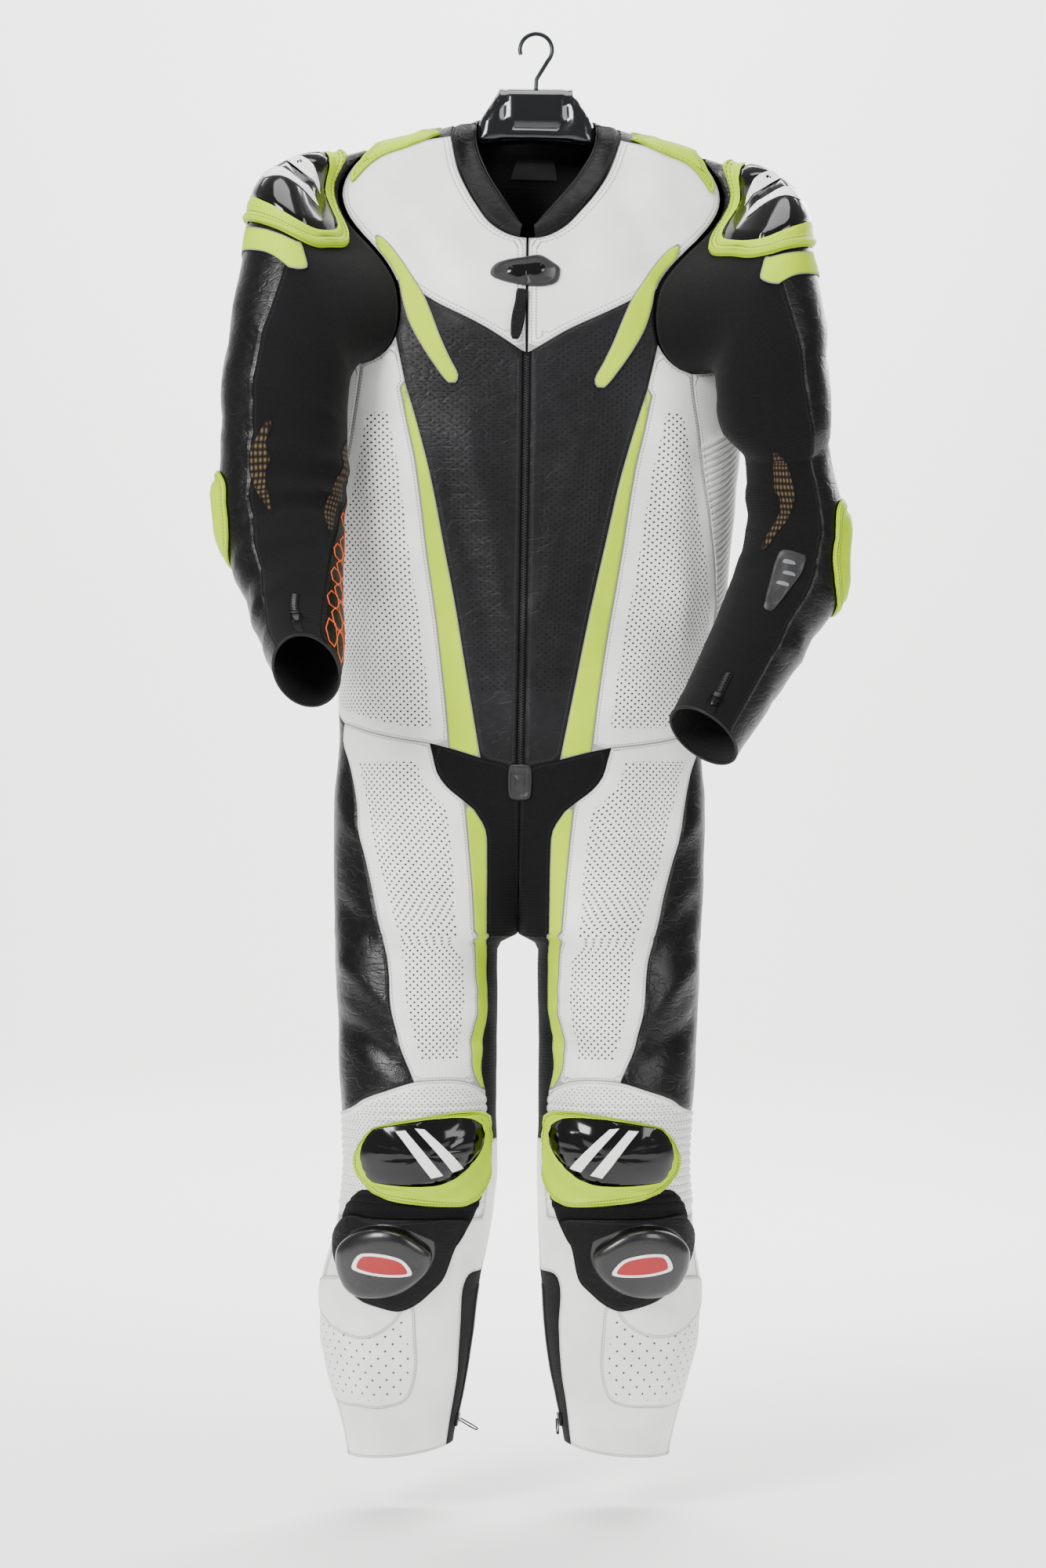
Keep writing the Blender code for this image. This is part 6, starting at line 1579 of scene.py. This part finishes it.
forearmBadge = {"finishes": ("rubber",), "middle": (0.252, 470), "floor": 0.1, "spokes": 64,
                "outer": ((1.0, 0.8), (0.95, 1.6), (0.84, 1.8), (0.78, 1.2), (0.4, 1.2)),
                "edge": ((0.3, 435), (0.219, 435), (0.213, 439), (0.231, 479), (0.25, 514), (0.281, 510)),
                "vents": ((0.262, 446), (0.254, 462), (0.259, 478)),
                "vent": ((-8, 3), (-6, -1), (7, -3), (8, 1))}


def insideOf(point, outline):
    inside = False
    for a, b in zip(outline, outline[1:] + outline[:1]):
        if (a[1] > point[1]) != (b[1] > point[1]):
            if point[0] < a[0] + (point[1] - a[1]) / (b[1] - a[1]) * (b[0] - a[0]):
                inside = not inside
    return inside


for side, tag in bothSides:
    surface, length = sleeveSurface(tag)[:2]
    over = coverOf("sleeve_leather_" + tag, "sleeve_stretch_" + tag)
    for index, edge in enumerate(sleeveInserts[tag]):
        makeOverlay(f"sleeve_mesh_{tag}_{index}", roundOutline(onSleeve(edge), 4), surface, side, "mesh", over,
                    step=6, held="stretched", replaces=False, **insertCloth)
    hemAt = length - cuffBinding["fromHem"]
    hemLine = [surface(u, hemAt) - normalAt(surface, u, hemAt, side) * cuffBinding["sunk"]
               for u in (k / 72 * sleeveWidth for k in range(73))]
    makeTube("cuff_binding_" + tag, hemLine, cuffBinding["radius"], "binding", sides=8)
surface, side = sleeveSurface("r")[0], -1
edge = roundOutline(onSleeve(honeycomb["edge"]), 6)
makeOverlay("sleeve_net_ground", edge, surface, side, "collarHide", coverOf("sleeve_leather_r", "sleeve_stretch_r"),
            step=6, held="stretched", replaces=False, **groundCloth)
over = coverOf("sleeve_net_ground")
net = bmesh.new()
size = honeycomb["size"]
cellWide, cellHigh = size * 1.732, size * 1.5    # spacing of hexagons that stand on a corner
lowU, lowV = min(p[0] for p in edge), min(p[1] for p in edge)
for row in range(int((max(p[1] for p in edge) - lowV) / cellHigh) + 1):
    for column in range(int((max(p[0] for p in edge) - lowU) / cellWide) + 2):
        u, v = lowU + (column + 0.5 * (row % 2)) * cellWide, lowV + row * cellHigh + honeycomb["down"]
        if not all(insideOf((u + a, v + b), edge) for a, b in ((-size, 0), (size, 0), (0, -size), (0, size))):
            continue
        place = Matrix.Translation((u, v, 0)) @ Matrix.Rotation(math.radians(30), 4, "Z")
        made = bmesh.ops.create_circle(net, cap_ends=True, segments=6, radius=size * honeycomb["fill"], matrix=place)
        cell = made["verts"][0].link_faces[0]
        bmesh.ops.inset_region(net, faces=[cell], thickness=honeycomb["line"], use_boundary=True,
                               use_even_offset=True)
        bmesh.ops.delete(net, geom=[cell], context="FACES")
made = bmesh.ops.extrude_face_region(net, geom=net.faces[:])
bmesh.ops.translate(net, vec=(0, 0, honeycomb["high"]), verts=newVerts(made))
for vert in net.verts:
    u, v, z = vert.co
    point, normal = surface(u, v), normalAt(surface, u, v, side)
    vert.co = (point + normal * (standOff(over, point, normal) + honeycomb["off"] + z)) * mm
finish("sleeve_net", net, (finishes["orange"],))
b, surface = forearmBadge, sleeveSurface("l")[0]
plate = makePlate("forearm_badge", surface, 1, coverOf("sleeve_leather_l", "sleeve_stretch_l"), b,
                  *onSleeve((b["middle"],)), roundOutline(onSleeve(b["edge"]), 3))
top = cover(plate)
for index, (share, place) in enumerate(b["vents"]):
    vent = roundOutline([(share * sleeveWidth + a, place + c) for a, c in b["vent"]], 3)
    makeMark(f"badge_vent_{index}", vent, surface, 1, "greyPlastic", top, 0.05, 0.4)
print("sleeve inserts made")

# Overlays on the shins, with their finish, wall and height off the leather
shinInset = ((112, 1447), (160, 1443), (208, 1447), (214, 1470), (214, 1530), (206, 1562), (160, 1572), (118, 1564),
    (106, 1535), (106, 1480))
shinRound = ((219, 1447), (205, 1474), (176, 1488), (150, 1485), (128, 1468), (118, 1445), (120, 1425), (165, 1418),
    (214, 1427))
for side, tag in bothSides:
    leg, over = bodySurface(side, "leg"), coverOf("shin_" + tag, "calf_" + tag)
    for node, edge, key, wall, lift in (("shin_inset_", shinInset, "shinHoles", 0.7, 0.05),
                                        ("shin_round_", shinRound, "shinHide", 0.8, 0.8)):
        makeOverlay(node + tag, roundOutline(onBody(edge), 6), leg, -side, key, over, wall=wall, lift=lift, step=8,
                    replaces=False)
print("shin overlays made")


# Floor, light and camera
studio = {"away": 3.6, "middle": (-0.0151, -0.8633), "view": 28.22, "world": 0.42}
# metres: half width, front edge, floor, where the bend starts and its radius, and top edge
backdrop = {"side": 9, "front": -6, "floor": -1.7, "wall": 5.8, "bend": 1.2, "steps": 8, "top": 6}


def flatFinish(name, code, roughness):
    made, _, shader = newFinish(name, roughness)
    shader.inputs["Base Color"].default_value = shade(code)
    return made


builder = bmesh.new()
b = backdrop
bend = [math.radians(90 / b["steps"] * step) for step in range(1, b["steps"] + 1)]
path = [(b["front"], b["floor"]), (b["wall"], b["floor"])]
path += [(b["wall"] + b["bend"] * math.sin(angle), b["floor"] + b["bend"] * (1 - math.cos(angle))) for angle in bend]
path.append((b["wall"] + b["bend"], b["top"]))
line = [builder.verts.new((-b["side"], y, z)) for y, z in path]
moved = bmesh.ops.extrude_edge_only(builder, edges=[builder.edges.new(pair) for pair in zip(line, line[1:])])
bmesh.ops.translate(builder, vec=(2 * b["side"], 0, 0), verts=newVerts(moved))
mesh = bpy.data.meshes.new("studioFloor")
builder.to_mesh(mesh)
builder.free()
floor = bpy.data.objects.new("studioFloor", mesh)
bpy.context.scene.collection.objects.link(floor)
mesh.shade_smooth()
mesh.materials.append(flatFinish("paintedFloor", "FBFBFA", 0.9))

lights = {
    # metres and watts: place, what it faces, width, power
    "keyLight": ((-2.3, -2.9, 0.9), (0, 0, -0.8), 1.4, 240),
    "fillLight": ((2.5, -2.7, 0.2), (0, 0, -0.8), 1.6, 60),
    "topLight": ((0, -0.6, 1.9), (0, 0, -0.7), 1.8, 70),
    "backdropLight": ((0, 2.6, 3.2), (0, 7.0, -0.9), 4.0, 900),
    "backLight": ((1.4, 2.0, 0.6), (0, 0, -0.6), 1.4, 60),
}
for name, (place, target, size, watts) in lights.items():
    lamp = bpy.data.lights.new(name, "AREA")
    lamp.size, lamp.energy = size, watts
    light = bpy.data.objects.new(name, lamp)
    light.location = place
    light.rotation_euler = (Vector(target) - Vector(place)).to_track_quat("-Z", "Y").to_euler()
    bpy.context.scene.collection.objects.link(light)
world = bpy.data.worlds.new("studio")
world.use_nodes = True
world.node_tree.nodes["Background"].inputs["Color"].default_value = (1, 1, 1, 1)
world.node_tree.nodes["Background"].inputs["Strength"].default_value = studio["world"]
bpy.context.scene.world = world

lens = bpy.data.cameras.new("camera")
lens.sensor_fit = "VERTICAL"
lens.angle = math.radians(studio["view"])
camera = bpy.data.objects.new("camera", lens)
camera.location = (studio["middle"][0], -studio["away"], studio["middle"][1])
camera.rotation_euler = (math.radians(90), 0, 0)
bpy.context.scene.collection.objects.link(camera)
bpy.context.scene.camera = camera

for name, cut in sorted(cuts.items()):
    print("cut", name, *cut)
